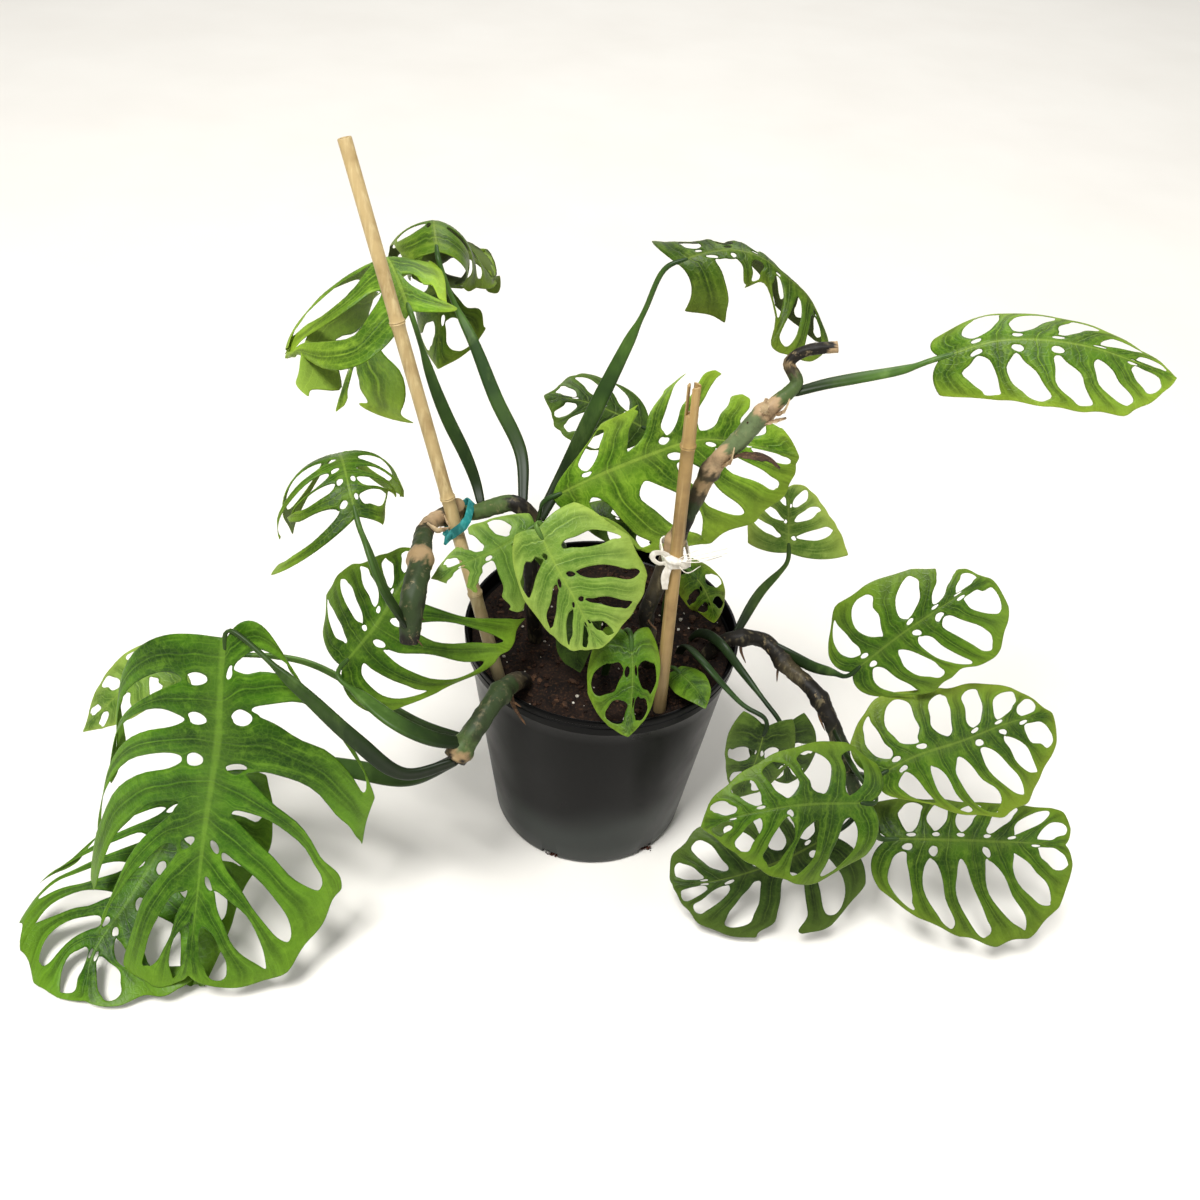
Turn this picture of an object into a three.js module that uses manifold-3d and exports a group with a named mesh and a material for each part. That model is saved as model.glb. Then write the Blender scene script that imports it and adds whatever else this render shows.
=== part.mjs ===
// Potted esqueleto monstera: a nursery pot of soil, two bamboo stakes, the climbing stems
// and their pierced leaves. Millimetres, +Z up, origin at the middle of the pot's underside.
import * as THREE from 'three';
import { mergeVertices } from 'three/addons/utils/BufferGeometryUtils.js';
import Module from 'manifold-3d';

const wasm = await Module();
wasm.setup();

// Pot and soil
const potHeight = 240;
const rimRadius = 130;
const rimBandHeight = 18;
const bandStep = 4;
const footRadius = 97;
const footHeight = 6;
const potWall = 2.4;
const potFloor = 4;
const potSegments = 36;
const drainCount = 6;
const drainWidth = 16;
const drainHeight = 9;
const drainTurn = 20;
const soilTop = 226;
const soilMound = 3;
const fitGap = 0.3;

// Stakes
const caneRadius = 5.8;
const caneTaper = 0.5;
const caneSides = 10;
const caneRing = 1;
const caneStep = 30;
const caneBore = 3.2;
const caneBoreDepth = 26;
const tallCane = { foot: [-81, -76, 196], top: [-213, 0, 680], nodes: [0.26, 0.43, 0.73] };
const shortCane = { foot: [58, -93, 192], top: [51, -92, 557], nodes: [0.57, 0.86], prongs: 3 };
const prongDepth = 24;
const prongGap = 3.4;

// Ties: a flat strap round a stake and the stem beside it, with a loose tail
const tieWall = 1.4;
const tieCorner = 5;
const tailWall = 1;
const tailTaper = 0.3;
const ties = {
  tie_teal: {
    cane: tallCane,
    stem: 'stem_left_tall',
    middle: [-129.5, -38, 379],
    along: [0, 1, 0],
    face: [-0.7, 0, 0.7],
    inside: [34, 25],
    width: 8,
    tail: 14,
    tailSide: 1,
    tailTurn: -20,
    color: 0x2f8c88,
  },
  tie_white: {
    cane: shortCane,
    stem: 'stem_right_tall',
    middle: [53.5, -83.6, 398],
    along: [-0.15, 1, 0],
    face: [0, 0, 1],
    inside: [32, 20],
    width: 10,
    tail: 20,
    tailSide: -1,
    tailTurn: 70,
    color: 0xd9d2c4,
  },
};

// Stems
const stemSides = 8;
const stemStep = 15;
const nodeLength = 5;
const nodeSwell = 0.28;
const stems = {
  stem_left_tall: {
    path: [
      [-60, -10, 195], [-64, -22, 265], [-68, -34, 338], [-68, -32, 380], [-83, -30, 394],
      [-114, -28, 381], [-136, -29, 376], [-149, -44, 380], [-153, -70, 387], [-150, -100, 394],
      [-147, -130, 397], [-148, -155, 386], [-150, -166, 352],
    ],
    radii: [8, 7, 6.5, 7, 7, 7, 7.5, 7, 7, 8, 9, 10, 8],
    nodes: [0.42, 0.62, 0.83],
  },
  stem_right_tall: {
    path: [
      [50, -22, 195], [44, -50, 262], [37, -68, 316], [42, -76, 352], [50, -76, 392],
      [63, -74, 440], [76, -73, 479], [92, -70, 501], [103, -66, 517], [117, -62, 532],
      [129, -56, 546], [122, -49, 558], [132, -46, 567], [156, -44, 572],
    ],
    radii: [7, 7, 6.5, 6.5, 7, 7, 7, 7, 7, 7, 8, 5.5, 4.5, 4.5],
    nodes: [0.22, 0.5, 0.66, 0.8],
  },
  stem_right_low: {
    path: [
      [92, -15, 195], [104, -18, 235], [122, -24, 257], [151, -20, 254], [173, -40, 243],
      [198, -60, 233], [217, -80, 212], [240, -108, 169], [272, -122, 118],
    ],
    radii: [7, 7, 7, 7.5, 7.5, 7.5, 7, 6, 5],
    nodes: [0.25, 0.4, 0.55, 0.7, 0.85],
  },
  stem_left_low: {
    path: [
      [-64, -50, 195], [-70, -88, 243], [-84, -128, 262],
      [-100, -158, 250], [-115, -174, 229],
    ],
    radii: [8, 8, 9, 9, 10],
    nodes: [0.6, 0.95],
  },
};

// Leaves
const bladeEdge = 0.8;
const bladeHeart = 1.8;
const ribDepth = 2.4;
const slotShare = 0.42;
const neckRadius = 2.3;
const neckLead = 8;
const neckRun = 10;
const petioleSides = 5;
const petioleStep = 28;
const tipShare = 0.06;

// Laterals leave the midrib turned back by a bow, from base to tip, and then swing to their angle
const lateralBow = [18, 0];
const bowShare = 0.55;
const bowGain = 0.004;
const easyBow = 18;

const waveTurns = 11;
const slotDrift = 0.12;
const slotDriftRamp = 3;
const rowDrift = 0.04;
const neckTaper = { from: 0.97, slim: 0.6 };
const sheathForm = { ends: 0.62, through: 0.5 };
const sideSeed = { left: 7, right: 0 };

// Rows of corners from midrib to margin, and how wide a slot is along the way: one that closes
// before the margin, and one that is open there and leaves the strips beside it pointed
const slotRows = [0, 0.2, 0.54, 0.88, 1];
const slotForm = [0.3, 0.6, 0.95, 1, 0.75, 0.25];
const openForm = [0.3, 0.6, 0.95, 1, 1.1, 1.4];

const green = { leaf: 0x4f8a2c, pale: 0x86ad3d, deep: 0x2f5c2a, stem: 0x4a6b3a, bark: 0x6e5d47 };

// Each leaf: its midrib from base to tip, the side its upper face looks to, and for each half
// (seen from above with the tip ahead) the reach, angle and bow of its laterals from base to tip
// and how far it bends down, in degrees as [at the midrib, at the margin], at its base and tip.
// Slots lie between strips; open ones run out through the margin, missing strips are torn off.
// Its petiole runs from the stem it grew from.
const leaves = [
  {
    name: 'leaf_front_left',
    from: 'stem_left_low',
    midrib: [[-300, -157, 330], [-309, -190, 245], [-327, -225, 139], [-337, -281, 39]],
    face: [0, -0.8, 0.6],
    left: {
      reach: [61, 74, 150, 169, 156, 145, 121, 75],
      angle: [62, 79, 66, 52, 46, 40, 37, 26, 0],
      bend: [[5, 40], [5, 10]],
      bow: [95, 50, 14, 8, 0],
    },
    right: {
      reach: [183, 166, 179, 165, 105],
      angle: [33, 40, 40, 31, 17, 0],
      bend: [[5, 40], [5, 10]],
      bow: [56, 44, 30, 15, 0],
    },
    strips: 8,
    open: { left: [1, 3], right: [2, 3, 4, 5] },
    seed: 1,
    slots: 0.56,
    petiole: [[-115, -176, 227], [-155, -190, 222], [-194, -192, 262], [-237, -182, 304]],
    sheath: 8,
  },
  {
    name: 'leaf_floor_left',
    from: 'stem_left_low',
    midrib: [
      [-359, -123, 115], [-386, -173, 80], [-412, -223, 48],
      [-432, -262, 24], [-427, -298, 10],
    ],
    face: [-0.1, -0.65, 0.75],
    left: {
      reach: [57, 88, 86, 134, 72],
      angle: [122, 108, 89, 46, 41, 0],
      bend: [[5, 15], [5, 8]],
      bow: [25, 0],
    },
    right: {
      reach: [138, 145, 124, 93, 57],
      angle: [29, 36, 42, 49, 46, 0],
      bend: [[5, 15], [5, 5]],
      bow: [25, 0],
    },
    strips: 7,
    seed: 2,
    slots: 0.6,
    open: { right: [2] },
    petiole: [
      [-114, -166, 220], [-157, -160, 183], [-216, -140, 166],
      [-264, -130, 158], [-320, -122, 150],
    ],
    sheath: 10,
  },
  {
    name: 'leaf_far_left',
    from: 'stem_left_low',
    midrib: [[-371, -98, 236], [-397, -104, 231], [-423, -116, 213], [-460, -130, 172]],
    face: [-0.3, -0.6, 0.7],
    left: { reach: [20, 30, 32, 26, 16], angle: [110, 70, 55, 45, 35, 0], bend: [[5, 20], [5, 10]] },
    right: { reach: [20, 34, 36, 30, 16], angle: [110, 70, 55, 45, 35, 0], bend: [[5, 20], [5, 10]] },
    strips: 4,
    seed: 3,
    tint: green.pale,
    petiole: [
      [-103, -156, 235], [-150, -132, 224], [-204, -108, 232],
      [-262, -94, 250], [-335, -94, 248],
    ],
    sheath: 5,
  },
  {
    name: 'leaf_left_pair',
    from: 'stem_left_low',
    midrib: [[-214, -138, 290], [-187, -122, 326], [-169, -100, 353], [-156, -72, 366]],
    face: [0.3, -0.75, 0.6],
    left: { reach: [43, 71, 73, 58, 38], angle: [88, 89, 68, 49, 35, 0], bend: [[45, 60], [45, 60]] },
    right: {
      reach: [54, 80, 108, 126, 132, 33],
      angle: [113, 83, 77, 63, 56, 41, 0],
      bend: [[5, 10], [5, 10]],
      bow: [40, 30, 10, 0],
    },
    strips: 6,
    seed: 4,
    slots: 0.5,
    open: { right: [4, 5] },
    missing: { right: [4] },
    petiole: [[-108, -168, 242], [-134, -178, 256], [-163, -176, 270], [-194, -158, 278]],
    sheath: 9,
  },
  {
    name: 'leaf_small_curled',
    from: 'stem_left_tall',
    midrib: [[-193, -130, 442], [-202, -112, 460], [-213, -82, 460], [-226, -48, 442]],
    face: [0, -0.3, 1],
    left: {
      reach: [92, 84, 56, 84, 102, 82],
      angle: [104, 108, 88, 98, 92, 66, 0],
      bend: [[0, 60], [-20, 118]],
      bow: [20, 20, 30, 30, 0],
    },
    right: {
      reach: [25, 36, 48, 60, 72, 58],
      angle: [110, 100, 92, 96, 90, 62, 0],
      bend: [[0, 70], [-20, 130]],
      bow: [0, 10, 30, 30, 0],
    },
    strips: 6,
    slots: 0.72,
    open: { left: [1, 2, 3, 4], right: [3] },
    seed: 5,
    petiole: [[-149, -164, 362], [-158, -170, 387], [-168, -168, 408], [-182, -150, 432]],
    sheath: 6,
  },
  {
    name: 'leaf_tall_left',
    from: 'stem_left_tall',
    midrib: [
      [-172, 6, 545], [-189, 42, 558], [-206, 80, 554],
      [-227, 110, 500], [-249, 114, 430], [-268, 110, 380],
    ],
    face: [0, -0.2, 1],
    left: {
      reach: [139, 121, 117, 149, 48],
      angle: [64, 86, 103, 104, 20, 0],
      bend: [[0, 72], [10, 30]],
      bow: [80, 50, 25, 10, 0],
    },
    right: { reach: [40, 52, 38, 30, 14], angle: [86, 142, 50, 50, 35, 0], bend: [[5, 30], [10, 30]] },
    strips: 6,
    seed: 6,
    slots: 0.5,
    open: { left: [3, 4, 5] },
    petiole: [
      [-112, -24, 385], [-118, -11, 398], [-128, -3, 420],
      [-144, 3, 452], [-155, 5, 482], [-163, 5, 512],
    ],
    sheath: 6,
  },
  {
    name: 'leaf_tall_centre',
    from: 'stem_left_tall',
    midrib: [
      [-164, 92, 557], [-173, 130, 565], [-178, 176, 543],
      [-181, 198, 498], [-182, 200, 440], [-184, 196, 385],
    ],
    face: [0, -0.2, 1],
    left: { reach: [36, 46, 58, 66, 50], angle: [75, 70, 66, 64, 50, 0], bend: [[10, 60], [0, 10]] },
    right: { reach: [66, 78, 82, 80, 56], angle: [80, 74, 66, 60, 45, 0], bend: [[10, 140], [10, 60]] },
    strips: 6,
    seed: 7,
    slots: 0.5,
    open: { left: [3, 4], right: [4] },
    petiole: [[-76, -26, 392], [-82, 8, 420], [-107, 34, 456], [-129, 58, 494], [-151, 80, 524]],
    sheath: 6.5,
  },
  {
    name: 'leaf_back_centre',
    from: 'stem_left_tall',
    midrib: [[29, 80, 407], [-2, 81, 422], [-34, 80, 433], [-70, 78, 437]],
    face: [0, -0.7, 0.7],
    left: {
      reach: [50, 49, 53, 42, 22],
      angle: [42, 56, 43, 38, 41, 0],
      bend: [[5, 20], [5, 20]],
      bow: [40, 25, 8, 0],
    },
    right: {
      reach: [59, 47, 42, 33, 17],
      angle: [25, 36, 42, 39, 31, 0],
      bend: [[5, 20], [5, 20]],
      bow: [40, 25, 8, 0],
    },
    strips: 4,
    slots: 0.6,
    seed: 8,
    tint: green.deep,
    petiole: [[-67, -29, 345], [-40, 22, 362], [0, 62, 384]],
    sheath: 4,
  },
  {
    name: 'leaf_centre_right',
    from: 'stem_left_tall',
    midrib: [
      [-51, -42, 412], [-15, -36, 434], [3, -28, 440], [30, -16, 447],
      [54, -6, 453], [76, 0, 455], [110, 2, 451], [151, -4, 450],
    ],
    face: [0, -0.95, 0.35],
    left: {
      reach: [37, 45, 58, 75, 48, 33],
      angle: [27, 56, 48, 58, 73, 75, 0],
      bend: [[0, 10], [0, 10]],
      bow: [20, 10, 0],
    },
    right: {
      reach: [32, 83, 132, 112, 86, 49],
      angle: [50, 71, 43, 34, 22, 13, 0],
      bend: [[0, 5], [0, 5]],
      bow: [40, 25, 8, 0],
    },
    strips: 6,
    seed: 9,
    slots: 0.5,
    open: { left: [2, 3, 4, 5] },
    petiole: [[-66, -34, 372], [-60, -38, 392]],
    sheath: 4,
  },
  {
    name: 'leaf_centre_front',
    from: 'stem_left_tall',
    midrib: [[-59, -82, 409], [-42, -98, 385], [-22, -112, 358], [-1, -120, 319]],
    face: [0, -0.8, 0.6],
    left: { reach: [38, 70, 73, 55, 30], angle: [100, 70, 60, 52, 38, 0], bend: [[0, 25], [0, 15]] },
    right: { reach: [20, 48, 55, 48, 28], angle: [100, 50, 36, 30, 25, 0], bend: [[0, 25], [0, 15]] },
    strips: 5,
    slots: 0.34,
    seed: 10,
    tint: green.pale,
    petiole: [[-65, -34, 337], [-38, -56, 368], [-46, -76, 397]],
    sheath: 4,
  },
  {
    name: 'leaf_centre_left',
    from: 'stem_left_tall',
    midrib: [[-63, -56, 392], [-90, -76, 382], [-118, -96, 377], [-142, -112, 372]],
    face: [0, -0.8, 0.6],
    left: { reach: [24, 58, 56, 30, 16], angle: [96, 94, 84, 66, 40, 0], bend: [[0, 25], [0, 20]] },
    right: { reach: [12, 24, 30, 20, 14], angle: [100, 80, 66, 50, 35, 0], bend: [[0, 20], [0, 15]] },
    strips: 4,
    seed: 11,
    slots: 0.5,
    open: { left: [1, 2, 3], right: [2] },
    tint: green.pale,
    petiole: [[-68, -32, 352], [-70, -44, 372], [-62, -50, 384]],
    sheath: 4,
  },
  {
    name: 'leaf_right_arch',
    from: 'stem_left_tall',
    midrib: [
      [33, 30, 593], [52, 33, 601], [76, 36, 605], [98, 36, 601],
      [117, 34, 590], [140, 30, 574], [162, 24, 540],
    ],
    face: [0, -0.35, 0.95],
    left: { reach: [99, 44, 56, 60, 40], angle: [95, 100, 80, 60, 40, 0], bend: [[10, 60], [20, 80]] },
    right: {
      reach: [42, 82, 33, 14, 62, 48],
      angle: [99, 43, 65, 60, 63, 50, 0],
      bend: [[20, 95], [20, 60]],
      bow: [-45, 0, 10, 0],
    },
    strips: 7,
    open: { right: [1, 2] },
    seed: 12,
    faceEnd: [1, 0, 0.3],
    missing: { right: [1] },
    slots: 0.5,
    petiole: [[-62, -24, 374], [-41, 4, 414], [-18, 15, 475], [-1, 22, 519], [12, 26, 552]],
    sheath: 7.5,
  },
  {
    name: 'leaf_far_right',
    from: 'stem_right_tall',
    midrib: [[235, -38, 567], [274, -40, 586], [329, -48, 592], [402, -60, 578]],
    face: [0.05, -0.75, 0.65],
    left: {
      reach: [24, 40, 48, 50, 36],
      angle: [95, 65, 45, 35, 25, 0],
      bend: [[30, 60], [30, 60]],
      bow: [40, 25, 8, 0],
    },
    right: {
      reach: [28, 48, 62, 64, 40],
      angle: [105, 70, 50, 38, 28, 0],
      bend: [[0, 10], [0, 10]],
      bow: [40, 25, 8, 0],
    },
    strips: 6,
    seed: 13,
    slots: 0.6,
    petiole: [[127, -57, 537], [150, -52, 544], [175, -47, 549], [212, -41, 557]],
    sheath: 7,
    sheathEnd: 0.72,
  },
  {
    name: 'leaf_right_small',
    from: 'stem_right_low',
    midrib: [[164, 20, 328], [160, 30, 358], [157, 45, 383]],
    face: [0, -0.75, 0.65],
    left: { reach: [38, 42, 36, 28, 18], angle: [75, 62, 55, 50, 35, 0], bend: [[0, 15], [0, 15]] },
    right: { reach: [58, 50, 40, 32, 22], angle: [98, 88, 75, 60, 40, 0], bend: [[0, 15], [0, 15]] },
    strips: 4,
    seed: 14,
    tint: green.pale,
    petiole: [[122, -22, 256], [143, 5, 291], [160, 14, 312]],
    sheath: 5,
  },
  {
    name: 'leaf_right_top',
    from: 'stem_right_low',
    midrib: [[225, -70, 270], [261, -65, 318], [299, -52, 350], [324, -38, 364]],
    face: [0, -0.75, 0.65],
    left: {
      reach: [26, 55, 53, 44, 30],
      angle: [105, 88, 70, 45, 30, 0],
      bend: [[0, 10], [0, 10]],
      bow: [40, 25, 8, 0],
    },
    right: {
      reach: [26, 61, 60, 72, 54],
      angle: [100, 78, 66, 66, 50, 0],
      bend: [[0, 10], [0, 10]],
      bow: [40, 25, 8, 0],
    },
    strips: 6,
    open: { left: [4] },
    seed: 15,
    slots: 0.62,
    petiole: [[152, -20, 254], [175, -32, 250], [195, -48, 252], [212, -62, 260]],
    sheath: 7,
  },
  {
    name: 'leaf_right_middle',
    from: 'stem_right_low',
    midrib: [
      [255, -130, 205], [286, -120, 223], [328, -104, 231],
      [371, -84, 238], [413, -66, 238],
    ],
    face: [0, -0.75, 0.65],
    left: {
      reach: [38, 61, 51, 46, 30],
      angle: [104, 97, 81, 65, 42, 0],
      bend: [[3, 12], [0, 10]],
      bow: [45, 25, 8, 0],
    },
    right: {
      reach: [23, 64, 86, 84, 56],
      angle: [90, 68, 68, 60, 50, 0],
      bend: [[0, 10], [0, 10]],
      bow: [45, 25, 8, 0],
    },
    strips: 7,
    seed: 16,
    slots: 0.62,
    petiole: [[237, -102, 174], [245, -120, 192]],
    sheath: 5,
  },
  {
    name: 'leaf_right_low',
    from: 'stem_right_low',
    midrib: [[283, -128, 117], [322, -127, 120], [360, -124, 120], [451, -118, 117]],
    face: [0, -0.75, 0.65],
    left: {
      reach: [38, 40, 42, 52, 58],
      angle: [115, 75, 60, 45, 35, 0],
      bend: [[10, 40], [10, 40]],
      bow: [40, 25, 8, 0],
    },
    right: {
      reach: [50, 88, 110, 104, 64],
      angle: [98, 76, 67, 58, 42, 0],
      bend: [[0, 10], [0, 10]],
      bow: [50, 30, 8, 0],
    },
    strips: 7,
    seed: 17,
    slots: 0.6,
    petiole: [[262, -118, 135], [268, -124, 126]],
    sheath: 4,
  },
  {
    name: 'leaf_right_front',
    from: 'stem_right_low',
    midrib: [[243, -165, 207], [180, -180, 214], [126, -188, 201], [98, -188, 184]],
    face: [0, -0.75, 0.65],
    left: {
      reach: [48, 80, 73, 56, 33],
      angle: [90, 70, 57, 45, 33, 0],
      bend: [[0, 20], [0, 10]],
      bow: [40, 25, 8, 0],
    },
    right: {
      reach: [34, 54, 50, 41, 29],
      angle: [105, 95, 75, 58, 38, 0],
      bend: [[0, 20], [0, 10]],
      bow: [50, 30, 8, 0],
    },
    strips: 6,
    seed: 18,
    slots: 0.6,
    petiole: [[217, -80, 210], [222, -108, 214], [235, -142, 213]],
    sheath: 4,
  },
  {
    name: 'leaf_right_floor',
    from: 'stem_right_low',
    midrib: [[230, -125, 111], [187, -137, 82], [131, -146, 56], [88, -146, 44]],
    face: [0, -0.75, 0.65],
    left: {
      reach: [58, 80, 76, 62, 38],
      angle: [95, 78, 60, 42, 30, 0],
      bend: [[0, 10], [0, 5]],
      bow: [40, 25, 8, 0],
    },
    right: {
      reach: [38, 50, 54, 66, 46],
      angle: [105, 90, 70, 55, 35, 0],
      bend: [[0, 10], [0, 5]],
      bow: [50, 30, 8, 0],
    },
    strips: 6,
    open: { left: [2] },
    seed: 19,
    tint: green.deep,
    slots: 0.6,
    petiole: [[255, -113, 148], [248, -118, 128]],
    sheath: 4,
  },
  {
    name: 'leaf_inner_left',
    midrib: [[152, -105, 227], [150, -110, 200], [145, -113, 170], [136, -115, 140]],
    face: [0, -0.8, 0.6],
    left: { reach: [26, 32, 30, 26, 16], angle: [120, 85, 60, 45, 30, 0], bend: [[0, 10], [0, 10]] },
    right: { reach: [26, 32, 30, 26, 16], angle: [120, 85, 60, 45, 30, 0], bend: [[0, 10], [0, 10]] },
    strips: 3,
    seed: 20,
    tint: green.deep,
    petiole: [[72, -12, 205], [78, -26, 244], [94, -66, 262], [112, -82, 252], [132, -94, 240]],
    sheath: 5,
  },
  {
    name: 'leaf_inner_right',
    midrib: [[170, -92, 212], [176, -95, 190], [182, -97, 165], [186, -98, 148]],
    face: [0, -0.8, 0.6],
    left: { reach: [26, 32, 32, 26, 16], angle: [120, 80, 60, 45, 30, 0], bend: [[0, 10], [0, 10]] },
    right: { reach: [26, 34, 32, 26, 16], angle: [120, 85, 60, 45, 30, 0], bend: [[0, 10], [0, 10]] },
    strips: 3,
    seed: 29,
    tint: green.deep,
    petiole: [[80, 8, 205], [90, -2, 240], [108, -34, 260], [131, -54, 244], [154, -78, 230]],
    sheath: 5,
  },
  {
    name: 'leaf_pot_front',
    midrib: [[25, -95, 309], [29, -112, 290], [30, -132, 264], [30, -150, 247]],
    face: [0, -0.7, 0.7],
    left: {
      reach: [20, 26, 24, 22, 14],
      angle: [120, 85, 65, 50, 35, 0],
      bend: [[0, 30], [0, 20]],
      bow: [40, 25, 8, 0],
    },
    right: {
      reach: [26, 42, 44, 34, 20],
      angle: [120, 80, 60, 45, 35, 0],
      bend: [[0, 30], [0, 20]],
      bow: [40, 25, 8, 0],
    },
    strips: 3,
    seed: 21,
    slots: 0.66,
    petiole: [[5, -50, 205], [8, -60, 250], [18, -78, 300]],
    sheath: 4,
  },
  {
    name: 'leaf_under_centre',
    from: 'stem_left_tall',
    midrib: [[-19, -5, 370], [5, -8, 369], [30, -11, 363], [55, -15, 353]],
    face: [0, -0.7, 0.7],
    left: { reach: [12, 20, 20, 18, 12], angle: [105, 75, 60, 50, 35, 0], bend: [[0, 20], [0, 20]] },
    right: { reach: [12, 22, 24, 22, 14], angle: [105, 75, 60, 50, 35, 0], bend: [[0, 20], [0, 20]] },
    strips: 3,
    seed: 22,
    tint: green.deep,
    petiole: [[-68, -26, 330], [-50, -15, 355], [-35, -8, 366]],
    sheath: 4,
  },
  {
    name: 'leaf_crinkled',
    midrib: [[77, 20, 296], [90, 17, 284], [102, 12, 262], [106, 8, 246]],
    face: [0, -0.6, 0.8],
    left: { reach: [15, 22, 24, 20, 12], angle: [110, 80, 60, 50, 35, 0], bend: [[0, 40], [0, 40]] },
    right: { reach: [15, 24, 26, 20, 12], angle: [110, 80, 60, 50, 35, 0], bend: [[0, 40], [0, 40]] },
    strips: 3,
    wave: 4,
    seed: 23,
    petiole: [[60, 30, 205], [58, 28, 250], [64, 24, 285]],
    sheath: 4,
  },
  {
    name: 'leaf_plain_rim',
    midrib: [[70, -58, 243], [82, -82, 252], [90, -98, 254], [96, -112, 250]],
    face: [0, -0.5, 0.85],
    left: { reach: [8, 16, 18, 16, 10], angle: [110, 80, 65, 50, 35, 0], bend: [[0, 20], [0, 20]] },
    right: { reach: [8, 16, 18, 16, 10], angle: [110, 80, 65, 50, 35, 0], bend: [[0, 20], [0, 20]] },
    strips: 3,
    slots: 0,
    seed: 24,
    petiole: [[50, -54, 205], [54, -54, 228], [61, -53, 239]],
    sheath: 3,
  },
  {
    name: 'leaf_plain_front',
    midrib: [[-10, -50, 297], [-18, -58, 286], [-22, -70, 270], [-16, -82, 252]],
    face: [0, -0.7, 0.7],
    left: { reach: [10, 18, 20, 16, 10], angle: [110, 80, 65, 50, 35, 0], bend: [[0, 20], [0, 20]] },
    right: { reach: [10, 20, 22, 18, 10], angle: [110, 80, 65, 50, 35, 0], bend: [[0, 20], [0, 20]] },
    strips: 3,
    slots: 0,
    seed: 25,
    tint: green.deep,
    petiole: [[0, -20, 205], [2, -22, 260], [-2, -38, 295]],
    sheath: 3,
  },
];

const toVector = (point) => new THREE.Vector3(point[0], point[1], point[2]);
const smoothPath = (points) => new THREE.CatmullRomCurve3(points.map(toVector), false, 'centripetal');
const mix = (from, to, share) => from + (to - from) * share;
const wobble = (seed, index) => {
  const value = Math.sin(seed * 12.9898 + index * 78.233) * 43758.5453;
  return (value - Math.floor(value)) * 2 - 1;
};

// Value at a share of the way along an evenly spaced list
function alongList(list, share) {
  const place = Math.min(Math.max(share, 0), 1) * (list.length - 1);
  const index = Math.min(Math.floor(place), list.length - 2);
  return mix(list[index], list[index + 1], place - index);
}

function solidFrom(vertices, triangles) {
  const mesh = new wasm.Mesh({
    numProp: 3,
    vertProperties: new Float32Array(vertices),
    triVerts: new Uint32Array(triangles),
  });
  return new wasm.Manifold(mesh);
}

function solidFromGeometry(geometry) {
  const bare = geometry.clone();
  bare.deleteAttribute('normal');
  bare.deleteAttribute('uv');
  const merged = mergeVertices(bare, 1e-3);
  return solidFrom(merged.attributes.position.array, merged.index.array);
}

// The largest body of a solid, as a geometry
function geometryFromSolid(solid) {
  const bodies = solid.decompose();
  const body = bodies.reduce((best, next) => (next.volume() > best.volume() ? next : best));
  const mesh = body.getMesh();
  const geometry = new THREE.BufferGeometry();
  const spots = new Float32Array(mesh.vertProperties);
  geometry.setAttribute('position', new THREE.BufferAttribute(spots, 3));
  geometry.setIndex(new THREE.BufferAttribute(new Uint32Array(mesh.triVerts), 1));
  geometry.computeVertexNormals();
  return geometry;
}

// A closed cylinder bent along a curve; radiusAt gives [across, through] at each share of it
function sweptSolid(curve, radiusAt, sides, rings) {
  const frames = curve.computeFrenetFrames(rings, false);
  const cylinder = new THREE.CylinderGeometry(1, 1, 1, sides, rings);
  const places = cylinder.attributes.position;
  const spot = new THREE.Vector3();
  for (let i = 0; i < places.count; i += 1) {
    const share = 0.5 - places.getY(i);
    const ring = Math.round(share * rings);
    const [across, through] = radiusAt(share);
    curve.getPointAt(share, spot);
    spot.addScaledVector(frames.normals[ring], places.getX(i) * across);
    spot.addScaledVector(frames.binormals[ring], places.getZ(i) * through);
    places.setXYZ(i, spot.x, spot.y, spot.z);
  }
  const solid = solidFromGeometry(cylinder);
  return solid.volume() > 0 ? solid : solidFromGeometry(flipped(cylinder));
}

function flipped(geometry) {
  const index = geometry.index.array;
  for (let i = 0; i < index.length; i += 3) {
    [index[i], index[i + 1]] = [index[i + 1], index[i]];
  }
  return geometry;
}

// Bend, lateral and reach of a blade's half at a share of the way from base to tip
function lateralOf(leaf, side, share, length) {
  const last = length * tipShare;
  const { reach, angle, bend, bow = lateralBow } = leaf[side];
  return {
    start: length * (1 - tipShare) * share,
    reach: alongList([...reach, last], share),
    angle: THREE.MathUtils.degToRad(alongList(angle, share)),
    bow: THREE.MathUtils.degToRad(alongList(bow, share)),
    pull: bowShare + bowGain * Math.max(0, alongList(bow, share) - easyBow),
    bendIn: THREE.MathUtils.degToRad(mix(bend[0][0], bend[1][0], share)),
    bendOut: THREE.MathUtils.degToRad(mix(bend[0][1], bend[1][1], share)),
  };
}

// How far out and down a lateral has come at a share of its reach, as parts of that reach
function bendShares(bendIn, bendOut, share) {
  const turn = bendOut - bendIn;
  if (share < 1e-6) return [Math.cos(bendIn), Math.sin(bendIn)];
  if (Math.abs(turn) < 1e-4) return [Math.cos(bendIn), Math.sin(bendIn)];
  const end = bendIn + turn * share;
  return [
    (Math.sin(end) - Math.sin(bendIn)) / (turn * share),
    (Math.cos(bendIn) - Math.cos(end)) / (turn * share),
  ];
}

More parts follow.
